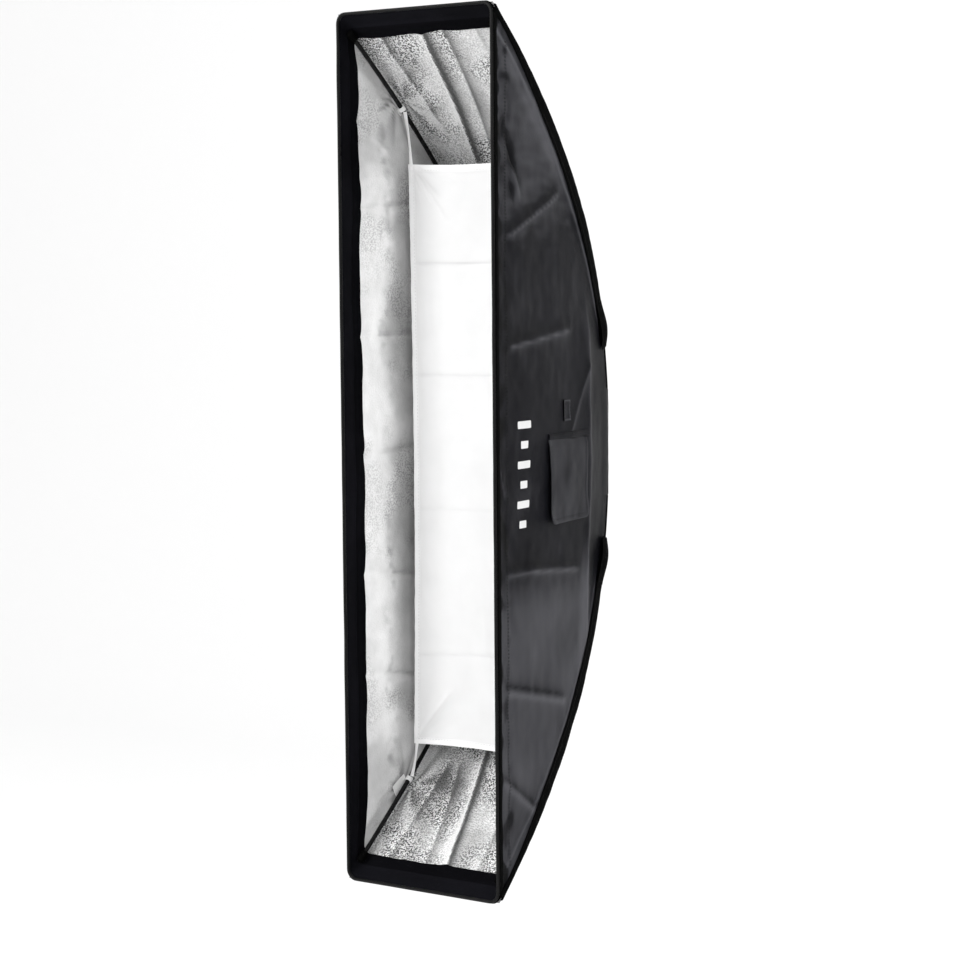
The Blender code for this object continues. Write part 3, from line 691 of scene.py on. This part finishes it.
METALS = {  # name, grey, roughness, metallic, size of grain, bump
    "rod": ("rod_coat", 0.002, 0.26, 0.0, 0.002, 0.1, (1, 0.1, 0.1), 0.12),
    "black_metal": ("black_anodised", 0.02, 0.42, 0.85, 0.0008, 0.25),
    "bare_metal": ("cast_aluminium", 0.58, 0.34, 1.0, 0.0009, 0.3),
    "screw_steel": ("plated_steel", 0.5, 0.25, 1.0, 0.0012, 0.15),
    "black_plastic": ("black_plastic", 0.014, 0.45, 0.0, 0.0007, 0.4),
}
M = {key: cloth_material(*values) for key, values in CLOTHS.items()}
M.update({key: metal_material(*values) for key, values in METALS.items()})
# The nylon's last colour is its painted sheen, reached along folds, ridges and seams
M["nylon"] = cloth_material("black_nylon", grey(0.0058, 0.0076), grey(0.0122, 0.0156), 0.42, 0.0009, 0.35,
                            0.035, painted_sheen=grey(0.085, 0.094))
# One silver cloth in two copies: the end walls' copy carries much more painted glint, where the light glances
# along them
M["silver"] = silver_material("silver_lining", 0.22, 0.0005, (-0.3, 0.35))
M["pebbled"] = silver_material("silver_lining_ends", 0.34, 0.0022, (0.25, 1.3))
M["white"] = diffuser_material()
M["hooks"] = hook_material()
PANEL = ("nylon", "silver", "nylon")


# Stitches

stitch_runs = {}
# The faces of one dash of thread, between its four sections of three points
DASH = [(3 * k + j, 3 * k + (j + 1) % 3, 3 * k + 3 + (j + 1) % 3, 3 * k + 3 + j)
        for k in range(3) for j in range(3)]
DASH += [(2, 1, 0), (9, 10, 11)]


def stitch(name, points, outward, material="thread", body="softbox"):
    """Adds thread dashes along a line of points to a run, which becomes one piece."""
    outward = np.broadcast_to(np.asarray(outward, float), points.shape)
    travelled = np.concatenate([[0], np.cumsum(np.linalg.norm(np.diff(points, axis=0), axis=1))])
    for begin in np.arange(0, travelled[-1] - STITCH_LENGTH, STITCH_LENGTH + STITCH_GAP):
        spots = begin + STITCH_LENGTH * np.array((0, 0.2, 0.8, 1))
        line = np.stack([np.interp(spots, travelled, points[:, k]) for k in range(3)], axis=1)
        up = unit(np.array([np.interp(begin, travelled, outward[:, k]) for k in range(3)]))
        side = np.cross(unit(line[-1] - line[0]), up)
        lift = THREAD_RADIUS * np.array((-0.6, 0.9, 0.9, -0.6))[:, None] * up
        width = THREAD_RADIUS * np.array((0.5, 1, 1, 0.5))[:, None] * side
        ring = [line + lift - width, line + lift + THREAD_RADIUS * 0.9 * up, line + lift + width]
        stitch_runs.setdefault((name, material, body), []).append(np.stack(ring, axis=1))


def make_stitches():
    for (name, material, body), dashes in stitch_runs.items():
        vertices = np.concatenate([d.reshape(-1, 3) for d in dashes])
        faces = [[12 * i + v for v in face] for i in range(len(dashes)) for face in DASH]
        new_piece(name, vertices, faces, [material], None, vertices[:, 1:], 60, body)


# Shell


def cells_between(points, low, high):
    """Which cells of a run of grid points have their middles between these."""
    middle = (points[:-1] + points[1:]) / 2
    return (middle > low) & (middle < high)


def make_side_shell(side_name, side):
    z = np.arange(-PANEL_END, PANEL_END + CELL / 2, CELL)
    share = np.linspace(0, 1, COLUMNS)
    trim = SEAM_TRIM * rise(np.abs(z), BACK_FLAT, 0.02)
    end = np.minimum(off_curve(np.abs(z), 0)[0] - trim * 1.3, BACK_FLAT_DEPTH)
    depth = FRONT_DEPTH + share[None, :] * (end[:, None] - FRONT_DEPTH)
    height = np.broadcast_to(z[:, None], depth.shape)
    layers = [xyz(side_x(side, depth, height, lift), depth, height) for lift in (0, -CLOTH)]
    keep = ~(cells_between(z, *ACCESS_Z)[:, None] & cells_between(share, *ACCESS_SHARE)) if side > 0 else None
    shell = layered(f"side_cloth_{side_name}", *layers, PANEL, keep)
    dress(shell, "black_nylon", f"side_panel_{side_name}")
    # Painted highlights and shade on the nylon outside, painted reflections on the lining inside
    set_painted_light(shell, side_painted_light(side, depth, height), lining_painted_light(side, depth, height))
    line = np.linspace(-0.655, 0.655, 400)
    for depth in (0.0335, 0.0365):
        stitch("front_stitching", xyz(side_x(side, depth, line, 0.0003), depth, line), (side, 0, 0))


def make_end_shell(end_name, end):
    front = float(half_height(FRONT_DEPTH))
    z = np.append(np.arange(BACK_FLAT + 0.0005, 0.7, END_CELL), [0.7035, front])
    share = np.linspace(-1, 1, COLUMNS)
    x = share[None, :] * (half_width(back_depth(z)) - 0.0012 - SEAM_TRIM)[:, None]
    grid_z = np.broadcast_to(z[:, None], x.shape)
    relief = end_relief(end_name, x, grid_z)
    layers = []
    for lift in (0, -CLOTH):
        depth, height = off_curve(grid_z, relief + lift)
        layers.append(xyz(x, np.maximum(depth, FRONT_DEPTH), end * height))
    window = cells_between(z, 0, WINDOW_HIGH)[:, None] & cells_between(share, -WINDOW_SHARE, WINDOW_SHARE)
    shell = layered(f"{end_name}_cloth", *layers, ("nylon", "pebbled", "nylon"), ~window)
    # Painted light on the outer nylon: highlights where the panel stands proud, shade in its hollows, with random
    # tone; the lining gets painted reflections
    painted_sheen = 0.3 * soft_noise(x, grid_z, 0.08, 58) + 30 * (relief - 0.001)
    set_painted_light(shell, np.clip(painted_sheen, -0.5, 0.6), end_painted_light(end_name, x, grid_z))
    dress(shell, "black_nylon", f"{end_name}_panel")


def sleeve_section(z, side, end, push, leg, thick, wobble):
    """Rounded cover over a seam, as a closed section from the end leg's tip to the side leg's tip and back."""
    inner = 0.55 * SLEEVE_RADIUS
    angles = [math.pi / 2 * k / 6 for k in range(7)]
    outline = []
    for grow in (push + thick, push):
        arc = [(-inner + (inner + grow) * math.sin(a), -inner + (inner + grow) * math.cos(a)) for a in angles]
        tip = push + 0.35 * (grow - push)
        side_leg = [(-leg, tip), (-leg * 0.75, 0.8 * grow), (-leg * 0.45, grow)]
        run = side_leg + arc + [(b, a) for a, b in side_leg[::-1]]
        outline += run if grow > push else run[::-1]
    points = []
    for out, proud in outline:
        depth, height = off_curve(z, out * (1 + wobble if out < 0 else 1))
        depth = max(float(depth), 0.003)
        x = float(half_width(depth)) + proud * (1 + wobble if proud < 0 else 1)
        points.append((side * x, depth + FRONT_Y, end * float(height)))
    return points


def make_sleeve(corner, side, end, seed):
    z = np.arange(0.172, 0.7045, 0.004)
    wave, fine = (soft_noise(z, z * 0, size, seed + k) for k, size in enumerate((0.03, 0.009)))
    leg = 0.012 + 0.013 * fall(z, 0.695, 0.17)
    sections = [sleeve_section(h, side, end, 0.0006 + 0.0004 * f, reach, 0.0024 + 0.0006 * w,
                               0.05 * w + 0.03 * f) for h, w, f, reach in zip(z, wave, fine, leg)]
    sleeve = swept(f"sleeve_cloth_{corner}", sections, "tape", sharp=60)
    dress(sleeve, "black_tape", f"rod_sleeve_{corner}")
    low = [sleeve_section(h, side, end, 0.0003, 0.0085, 0.0012, 0) for h in np.linspace(0.0935, 0.174, 24)]
    dress(swept(f"seam_tape_{corner}", low, "tape"), "black_tape")
    depth, height = off_curve(np.arange(0.2, 0.56, 0.004), -0.0215)
    stitch("sleeve_stitching", xyz(side * (half_width(depth) + 0.0032), depth, end * height), (side, 0, 0))


def make_keeper(corner, side, end, seed):
    """Thicker end of a sleeve, where the rod leaves it."""
    z = np.arange(0.166, 0.2445, 0.003)
    swell = np.sin(np.pi * ((z - z[0]) / (z[-1] - z[0])) ** 0.8) ** 1.5
    wave = soft_noise(z, z * 0, 0.022, seed)
    sections = [sleeve_section(h, side, end, 0.0026 + 0.0022 * s, 0.0258, 0.0012 + 0.0034 * s + 0.0006 * w * s,
                               0.05 * w) for h, s, w in zip(z, swell, wave)]
    keeper = swept(f"keeper_cloth_{corner}", sections, "tape", sharp=60)
    dress(keeper, "black_tape", f"rod_keeper_{corner}")


def lip_ring(depth, inset):
    """One ring of the lip, which follows the panels that it is sewn to."""
    end_depth = depth * END_LIP_DEPTH / LIP_DEPTH
    ring = rounded_loop(half_width(depth) - inset, half_height(end_depth) - inset * 1.2, CORNER_RADIUS - 0.003)
    x, z = ring.T
    side, end, high = np.sign(x), np.sign(z), np.minimum(np.abs(z), HALF_HEIGHT)
    ripple = soft_noise(x, z, 0.035, 71) * rise(depth, 0.02, 0.025)
    d = depth + (end_depth - depth) * rise(np.abs(z), 0.58, 0.08) + 0.0016 * ripple
    on_side = rise(np.abs(x), half_width(depth) - 0.012, 0.008)
    on_end = rise(np.abs(z), half_height(end_depth) - 0.014, 0.008)
    bulge = np.where(side > 0, side_relief(1, d, z), side_relief(-1, d, z))
    swell = np.where(end > 0, end_relief("top", x, high), end_relief("bottom", x, high))
    slope = back_slope(np.maximum(high, 0.3))
    return xyz(x + side * bulge * on_side, d, z + end * swell * np.sqrt(1 + slope**2) / slope * on_end)


def make_front_edge():
    """Lip ring, loop tape, outer tape and piping round the front."""
    depths = np.array((0.0012, 0.004, 0.01, 0.018, 0.026, 0.0262, 0.033, 0.04, 0.0455, LIP_DEPTH))
    back = np.array([lip_ring(depth, 0.0022) for depth in depths])
    face = np.array([lip_ring(depth, 0.004 + 0.0007 * (depth > LOOP_START)) for depth in depths])
    lip = layered("front_lip_cloth", face, back, ("lip",) * 3, closed=True)
    lip.data.materials.append(M["loop"])
    for k, polygon in enumerate(lip.data.polygons[: (len(depths) - 1) * face.shape[1]]):
        polygon.material_index = 3 if depths[k // face.shape[1]] > LOOP_START else 0
    for polygon in lip.data.polygons[(len(depths) - 1) * face.shape[1] :]:
        polygon.material_index = 0
    dress(lip, "lip_loop", "lip_left", "lip_right", "lip_top", "lip_bottom")

    x, z = rounded_loop(HALF_WIDTH - PIPING_RADIUS, HALF_HEIGHT - PIPING_RADIUS, CORNER_RADIUS).T
    path = xyz(x, 0.0004 + 0.0004 * soft_noise(x, z, 0.05, 81), z)
    piping = tube("front_piping", path, PIPING_RADIUS, "piping", closed=True)
    dress(piping, "piping", "front_binding")

    # Black binding round the front fold; its black band also stands in for the painted shade along that fold
    rings = []
    for depth, proud in ((0.0012, 0.0002), (0.0015, 0.001), (0.006, 0.0012), (0.0105, 0.001), (0.0112, 0.0001),
                         (0.006, -0.0004)):
        x, z = rounded_loop(half_width(depth) + proud, half_height(depth) + proud * 1.2, CORNER_RADIUS).T
        rings.append(xyz(x, depth + 0.001 * soft_noise(x, z, 0.03, 83) * (depth > 0.008), z))
    dress(swept("front_edge_tape_and_shade", np.swapaxes(rings, 0, 1), "tape", closed=True), "black_tape")


def rod_centre(z, side, end):
    depth, height = off_curve(np.asarray(z, float), -ROD_INSET)
    return xyz(side * (half_width(depth) - ROD_INSET), depth, end * height)


def make_pocket(corner, side, end, seed):
    flare = np.linspace(0, 1, 13)
    radius = 0.0056 + 0.0009 * np.sin(np.pi * flare) + 0.0004 * soft_noise(flare, flare, 0.2, seed)
    radius[-1] = 0.003
    path = rod_centre(np.linspace(0.6795, 0.6915, 13), side, end)
    dress(tube(f"pocket_cloth_{corner}", path, radius, "tape", 14), "black_tape", f"corner_pocket_{corner}")


def make_collar():
    """Gathered fabric round the speedring, with an elastic hem at its hole."""
    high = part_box("back_collar")[1]
    angle = 2 * np.pi * np.arange(240) / 240
    cos, sin = np.cos(angle), np.sin(angle)
    reach = np.minimum(high.x / np.maximum(abs(cos), 1e-6), (high.z + 0.0027) / np.maximum(abs(sin), 1e-6))
    share = np.linspace(0, 1, 9)[:, None]
    x, z = (COLLAR_HOLE + share * (reach - COLLAR_HOLE)) * np.stack([cos, sin])[:, None]
    pleat = np.sin(PLEATS * angle + 2.0 * soft_noise(angle, angle * 0, 0.35, 91)) * (1 - share) ** 1.2
    outer = np.stack([x, high.y + 0.0012 * pleat + 0.0008 * soft_noise(x, z, 0.02, 92), z], axis=-1)
    collar = layered("collar_cloth", outer, outer - np.array((0, 0.0012, 0)), PANEL, closed=True)
    dress(collar, "black_tape", "back_collar")
    path = (COLLAR_HOLE + 0.0012) * circle(angle, (1, 0, 0), (0, 0, 1)) + np.array((0, high.y + 0.0004, 0))
    gather = 0.0021 + 0.0005 * np.sin(PLEATS * angle + 0.6)
    dress(tube("collar_hem", path, gather, "tape", 10, closed=True), "black_tape")


# Flaps


def hem_band(name, slot, material, centre_line, across, outward, half, rise_by):
    """A folded strip of cloth: a low rounded section along a line."""
    profile = [(-half * math.cos(a), rise_by * math.sin(a) ** 0.6) for a in np.linspace(0, np.pi, 7)]
    profile += [(half * 0.8, -0.0002), (-half * 0.8, -0.0002)]
    across, outward = np.asarray(across, float), np.asarray(outward, float)
    sections = [[p + s * across + h * outward for s, h in profile] for p in centre_line]
    dress(swept(name, sections, material, sharp=60), slot)


def make_access_flap():
    low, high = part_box("access_flap")
    joint = next(j for j in frame["joints"] if j["name"] == "access_flap_hinge")
    along = -unit(np.array(joint["axis"], float))
    outward = np.array((along[1], -along[0], 0))
    hinge = np.array(joint["pos_m"], float)
    half_len = (high.y - low.y) / 2 / along[1]
    tall = hinge[2] - low.z
    across, down = np.meshgrid(np.linspace(-1, 1, 61), np.linspace(0, 1, 57))
    drop = down * tall
    near = np.clip(FLAP_CORNER - (tall - drop), 0, FLAP_CORNER)
    inset = FLAP_CORNER - np.sqrt(np.maximum(FLAP_CORNER**2 - near**2, 0))
    reach = across * (half_len - inset - 0.0016 * np.sin(np.pi * down))
    curl = 0.0022 * rise(-across, 0.7, 0.3) * rise(down, 0.05, 0.4)
    curl += 0.0022 * rise(down, 0.86, 0.14) * fall(across, 0.2, 0.8)
    curl += 0.002 * np.cos(np.pi / 2 * across) * np.sin(np.pi * down)
    wrinkle = 0.0011 * soft_noise(reach, drop, 0.045, 101) + 0.0004 * soft_noise(reach, drop, 0.014, 102)
    edge = np.minimum(np.minimum((1 - np.abs(across)) * half_len, tall - drop), 0.02)
    hem = 0.0007 * (1 - rise(edge, 0.0065, 0.0012))
    away = curl + wrinkle * smooth_step(drop / 0.02) - 0.0028 * (1 - smooth_step(drop / 0.014))
    base = hinge + (reach - FLAP_SHIFT)[..., None] * along - drop[..., None] * np.array((0, 0, 1.0))
    outer, inner = (base + lift[..., None] * outward for lift in (away + hem + 0.0006, away - 0.0006))
    flap = layered("flap_cloth", outer, inner, ("nylon",) * 3, body="access_flap")
    dress(flap, "black_nylon", "access_flap")
    # Painted light: the flap a little lighter than the panel round it, with a painted highlight along its edge,
    # over random tone
    set_painted_light(flap, 0.24 + 0.2 * soft_noise(reach, drop * 0.5, 0.02, 103) + 0.25 * (edge < 0.0018))
    for line in (outer[4:-4, 3], outer[4:-4, -4], outer[-4, 3:-3]):
        stitch("flap_stitching", line, outward, body="access_flap")
    top = hinge + (np.linspace(-1, 1, 41)[:, None] * (half_len + 0.001) - FLAP_SHIFT / 2) * along
    depth, height = top[:, 1] - FRONT_Y, top[:, 2] + 0.0045
    seat = xyz(side_x(1, depth, height, 0.0002), depth, height)
    hem_band("flap_top_hem", "black_nylon", "nylon", seat, (0, 0, 1), outward, 0.0056, 0.0028)
    for dz in (0.0034, 0.0012):
        stitch("hem_stitching", seat + 0.0027 * outward + np.array((0, 0, dz)), outward)
    for name in ("access_hook_strip", "access_loop_strip"):
        frame["nodes"][name].data.materials.clear()
        frame["nodes"][name].data.materials.append(M["hooks"])


def make_access_binding():
    """Tape sewn round the edge of the access opening."""
    near, far = (FRONT_DEPTH + share * (BACK_FLAT_DEPTH - FRONT_DEPTH) for share in ACCESS_SHARE)
    low, high = ACCESS_Z
    corners = [(near, low), (far, low), (far, high), (near, high)]
    path = []
    for (d0, z0), (d1, z1) in zip(corners, corners[1:] + corners[:1]):
        for t in np.arange(24) / 24:
            d, z = d0 + (d1 - d0) * t, z0 + (z1 - z0) * t
            path.append((float(side_x(1, d, z, -0.0006)), d + FRONT_Y, z))
    dress(tube("access_binding", path, 0.0022, "tape", 8, closed=True), "black_tape")


def make_patch():
    low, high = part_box("stitched_patch")
    depth, z = np.meshgrid(np.linspace(low.y, high.y, 25) - FRONT_Y, np.linspace(low.z, high.z, 29))
    across, up = np.minimum(depth - depth[0, 0], depth[0, -1] - depth), np.minimum(z - z[0, 0], z[-1, 0] - z)
    edge = np.minimum(across, up)
    lift = 0.0016 + 0.0006 * (1 - rise(edge, 0.003, 0.001)) + 0.0003 * soft_noise(depth, z, 0.01, 111)
    outer, inner = (xyz(side_x(1, depth, z, out), depth, z) for out in (lift, 0.0004))
    patch = layered("patch_cloth", outer, inner, ("nylon", "nylon", "tape"))
    dress(patch, "black_tape", "stitched_patch")
    # Painted highlight along the raised hem round the patch
    set_painted_light(patch, 0.1 + 0.55 * (edge < 0.0035) * (edge > 0.001))
    for line in (outer[2:-2, 2], outer[2:-2, -3], outer[2, 2:-2], outer[-3, 2:-2]):
        stitch("hem_stitching", line, (1, 0, 0))


def make_rear_flap(end_name, end):
    body = f"rear_flap_{end_name}"
    z = np.linspace(0.0937, 0.2352, 60)[:, None]
    width = half_width(back_depth(z)) - 0.0285
    x = np.linspace(-1, 1, 49) * width
    grid_z = np.broadcast_to(z, x.shape)
    edge = np.minimum(width - np.abs(x), grid_z - z[0])
    hem = 0.0008 * (1 - rise(edge, 0.007, 0.0015))
    ripple = 0.0011 * soft_noise(x, grid_z, 0.035, 121 + end) + 0.0004 * soft_noise(x, grid_z, 0.012, 131 + end)
    ripple *= fall(grid_z, z[-1], 0.02)
    layers = []
    for out in (0.0026 + ripple + hem, 0.0014 + ripple):
        depth, height = off_curve(grid_z, out)
        layers.append(xyz(x, depth, end * height))
    flap = layered(f"rear_flap_cloth_{end_name}", *layers, ("nylon",) * 3, body=body)
    dress(flap, "black_nylon", f"rear_flap_{end_name}")
    for line in (layers[0][3:, 3], layers[0][3:, -4], layers[0][3, 3:-3]):
        stitch(f"rear_stitching_{end_name}", line, (0, 0.97, end * 0.24), body=body)
    across = np.linspace(-1, 1, 31) * float(half_width(back_depth(0.238)) - 0.0275)
    depth, height = off_curve(0.2418, 0.0006)
    normal = np.array(off_curve(0.2385, 1.0)) - np.array(off_curve(0.2385, 0.0))
    outward = np.array((0, normal[0], end * normal[1]))
    upward = np.array((0, -end * outward[2], outward[1]))
    hem_band(f"rear_hem_{end_name}", "black_tape", "tape", xyz(across, depth, end * height), upward, outward,
             0.0042, 0.003)


# Baffle and its ties


def make_baffle():
    low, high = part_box("inner_baffle")
    middle = (low.z + high.z) / 2
    gx, gz = np.meshgrid(np.linspace(low.x, high.x, 81), np.linspace(low.z, high.z, 326))
    half_w, half_h = high.x, (high.z - low.z) / 2
    u, v = gx / half_w, (gz - middle) / half_h
    relief = 0.0035 * soft_noise(gx, gz * 0.5, 0.09, 141) + 0.001 * soft_noise(gx, gz, 0.03, 142)
    painted_light = np.zeros_like(gx)
    for level, tilt, strength in BAFFLE_FOLDS:
        line = (gx, gz, (-0.125, level - tilt), (0.125, level + tilt))
        # Painted shade along each fold line
        relief += crease(*line, 0.003, -0.0026 * strength)
        painted_light -= crease(*line, 0.0022, 0.5 * strength)
    for sx in (-1, 1):
        for sz in (-1, 1):
            spot = (sx * half_w, middle + sz * half_h)
            relief += radiating(gx, gz, spot, 9, 0.05, 0.0022, 150 + sx + 3 * sz)
            relief += crease(gx, gz, spot, (sx * 0.035, middle + sz * (half_h - 0.1)), 0.008, 0.0035)
    edge = np.minimum(half_w - np.abs(gx), half_h - np.abs(gz - middle))
    relief *= smooth_step(edge / 0.03 + 0.35)
    hem = 0.0005 * (1 - rise(edge, 0.0095, 0.001))
    front = low.y - relief - hem - 0.0007 * soft_noise(gx, gz, 0.012, 161) * (1 - smooth_step(edge / 0.012))
    x, z = gx - 0.0055 * (1 - v**2) * u, gz - 0.004 * (1 - u**2) * v
    outer, inner = (np.stack([x, y, z], axis=-1) for y in (front, front + 0.0007 + 2 * hem))
    baffle = layered("baffle_cloth", outer, inner, ("white",) * 3, body="baffle", sharp=70)
    dress(baffle, "white_diffuser", "inner_baffle")
    # More painted shade: a band inside the hem and lines from the top corners; darker towards the top
    painted_light -= 0.1 * (edge > 0.0095) * (edge < 0.0125) + 0.16 * rise(gz, 0.28, 0.15)
    for sx in (-1, 1):
        painted_light -= crease(gx, gz, (sx * 0.113, 0.472), (sx * 0.05, 0.415), 0.006, 0.25)
    set_painted_light(baffle, painted_light)
    for line in (outer[3:-3, 3], outer[3:-3, -4], outer[3, 3:-3], outer[-4, 3:-3]):
        stitch("baffle_stitching", line, (0, -1, 0), "white_thread", "baffle")


def ribbon(name, path, across, width, body):
    """A flat elastic strip along a path. Across gives the direction of its width at each point."""
    ahead = unit(np.gradient(path, axis=0))
    across = unit(across - ahead * (across * ahead).sum(axis=1, keepdims=True))
    normal = np.cross(ahead, across)
    corners = ((-1, -0.4), (-0.85, -1), (0.85, -1), (1, -0.4), (1, 0.4), (0.85, 1), (-0.85, 1), (-1, 0.4))
    sections = [[p + a * width / 2 * i + n * TIE_THICK / 2 * j for i, j in corners]
                for p, a, n in zip(path, across, normal)]
    return swept(name, sections, "elastic", body=body, sharp=60)


def make_tie(corner, side, end):
    """A baffle tie, its wrap round the rod, and the wrap's loose tail."""
    baffle_low, baffle_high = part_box("inner_baffle")
    edge = baffle_high.z if end > 0 else baffle_low.z
    start = np.array((side * (baffle_high.x - 0.006), baffle_low.y + 0.0002, edge - end * 0.01))
    loop_low, loop_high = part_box(f"tie_loop_{corner}")
    stop = np.array((loop_low + loop_high) / 2) + np.array((-side * 0.0072, -0.001, -end * 0.006))
    t = np.linspace(0, 1, 28)[:, None]
    path = start * (1 - t) + stop * t + np.array((0, 0.003, 0)) * np.sin(np.pi * t)
    turn = 0.5 * np.sin(np.pi * t) * side
    across = np.cos(turn) * np.array((1.0, 0, 0)) + np.sin(turn) * np.array((0, 1.0, 0))
    tie = ribbon(f"tie_ribbon_{corner}", path, across, 0.0075, "baffle")
    dress(tie, "white_elastic", f"baffle_tie_{corner}")

    below, centre, above = rod_centre((TIE_HEIGHT - 0.004, TIE_HEIGHT, TIE_HEIGHT + 0.004), side, end)
    along = unit(above - below)
    one = unit(np.cross(along, (1.0, 0, 0)))
    angle = np.linspace(0, 2 * np.pi, 25)[:-1]
    loops = []
    for a, outward in zip(angle, circle(angle, one, np.cross(along, one))):
        p, half = centre + 0.0047 * outward, (0.004 + 0.0004 * math.sin(3 * a)) * along
        loops.append([p - half, p - half + outward * 0.0012, p + half + outward * 0.0012, p + half])
    band = swept(f"tie_wrap_{corner}", loops, "elastic", closed=True)
    dress(band, "white_elastic", f"tie_loop_{corner}")

    tail = np.linspace(0, 1, 10)[:, None]
    wall = np.array((side, 0.0, 0.0))
    if end > 0:
        reach, wide = -0.013 * along * np.sign(along[2]), 0.008
    else:
        reach, wide = np.array((0, -0.031, -0.017)), 0.021
    path = centre + 0.0068 * wall + tail * reach + 0.0018 * wall * np.sin(0.8 * np.pi * tail)
    across = np.repeat(np.cross(reach, wall)[None], len(tail), 0)
    dress(ribbon(f"tie_tail_{corner}", path, across, wide, "softbox"), "white_elastic")


def make_mark():
    """A plain column of wide and narrow white bars printed on the right side, with no lettering."""
    rows, columns = 14, 7
    up, across = np.meshgrid(np.linspace(-1, 1, rows), np.linspace(-1, 1, columns), indexing="ij")
    corners = np.arange(rows * columns).reshape(rows, columns)[:-1, :-1].ravel()
    points, faces = [], []
    for k in range(6):
        depth = 0.087 + (0.04, 0.022)[k % 2] * across * (1 - 0.06 * up**6) / 2
        z = 0.05 - 0.032 * k + up * 0.012 / 2
        points.append(xyz(side_x(1, depth, z, 0.00035), depth, z).reshape(-1, 3))
        first = corners + k * rows * columns
        faces += np.stack([first, first + 1, first + columns + 1, first + columns], axis=1).tolist()
    points = np.concatenate(points)
    dress(new_piece("side_mark", points, faces, ["print"], None, points[:, 1:], 60), "white_elastic")


# Hard parts


def dress_hard_parts():
    slots = {s["node"]: s["material_slot"] for s in frame["record"]["subparts"]}
    for name, node in frame["nodes"].items():
        if slots.get(name) not in METALS or node.hide_render:
            continue
        node.data.materials.clear()
        node.data.materials.append(M[slots[name]])
        node.data.polygons.foreach_set("use_smooth", np.ones(len(node.data.polygons), bool))
        node.data.set_sharp_from_angle(angle=math.radians(34))
        if slots[name] != "rod":
            bevel = node.modifiers.new("edge", "BEVEL")
            bevel.width, bevel.segments = 0.0003, 2
            bevel.limit_method, bevel.angle_limit = "ANGLE", math.radians(40)


# Stage


def make_floor():
    """Pale paper that sweeps up behind the softbox."""
    back_y, radius = 4.0, 1.5
    profile = [(-9.0, FLOOR_Z), (back_y - radius, FLOOR_Z)]
    profile += [(back_y - radius + radius * math.sin(a), FLOOR_Z + radius * (1 - math.cos(a)))
                for a in np.linspace(0.1, math.pi / 2, 12)]
    profile += [(back_y, 6.0)]
    vertices = [(x, y, z) for y, z in profile for x in (-9.0, 9.0)]
    faces = [(2 * i, 2 * i + 1, 2 * i + 3, 2 * i + 2) for i in range(len(profile) - 1)]
    mesh = bpy.data.meshes.new("studio_floor")
    mesh.from_pydata(vertices, [], faces)
    mesh.shade_smooth()
    mesh.materials.append(start_material("studio_paper", grey(0.93), 0.9, 0, 0.1)[0])
    add_object("studio_floor", mesh)


def make_camera():
    data = bpy.data.cameras.new("camera")
    data.lens = CAMERA_LENS
    data.sensor_width = 36
    data.clip_end = 60
    camera = add_object("camera", data)
    turns = ((-CAMERA_YAW, "Z"), (math.pi / 2 + CAMERA_PITCH, "X"), (CAMERA_ROLL, "Z"))
    matrix = Matrix.Translation(CAMERA_PLACE)
    for turn, axis in turns:
        matrix = matrix @ Matrix.Rotation(turn, 4, axis)
    camera.matrix_world = matrix
    bpy.context.scene.camera = camera


def make_lights():
    aim = Vector((0, FRONT_Y / 2, 0))
    for name, place, width, height, power in LIGHTS:
        data = bpy.data.lights.new(name, "AREA")
        data.shape = "RECTANGLE"
        data.size, data.size_y, data.energy = width, height, power
        light = add_object(name, data)
        light.location = place
        light.rotation_euler = (aim - Vector(place)).to_track_quat("-Z", "Y").to_euler()
    scene = bpy.context.scene
    scene.world = bpy.data.worlds.new("studio")
    scene.world.use_nodes = True
    background = scene.world.node_tree.nodes["Background"].inputs
    background["Color"].default_value, background["Strength"].default_value = (1, 1, 1, 1), WORLD_LIGHT
    scene.view_settings.view_transform = "Standard"
    scene.view_settings.look = "None"


make_camera()
for side_name, side in SIDES.items():
    make_side_shell(side_name, side)
for end_name, end in ENDS.items():
    make_end_shell(end_name, end)
    make_rear_flap(end_name, end)
make_front_edge()
for number, (corner, side, end) in enumerate(CORNERS):
    make_sleeve(corner, side, end, 200 + 10 * number)
    make_keeper(corner, side, end, 300 + 10 * number)
    make_pocket(corner, side, end, 400 + 10 * number)
    make_tie(corner, side, end)
make_collar()
make_access_flap()
make_access_binding()
make_patch()
make_baffle()
make_mark()
make_stitches()
dress_hard_parts()
make_floor()
make_lights()
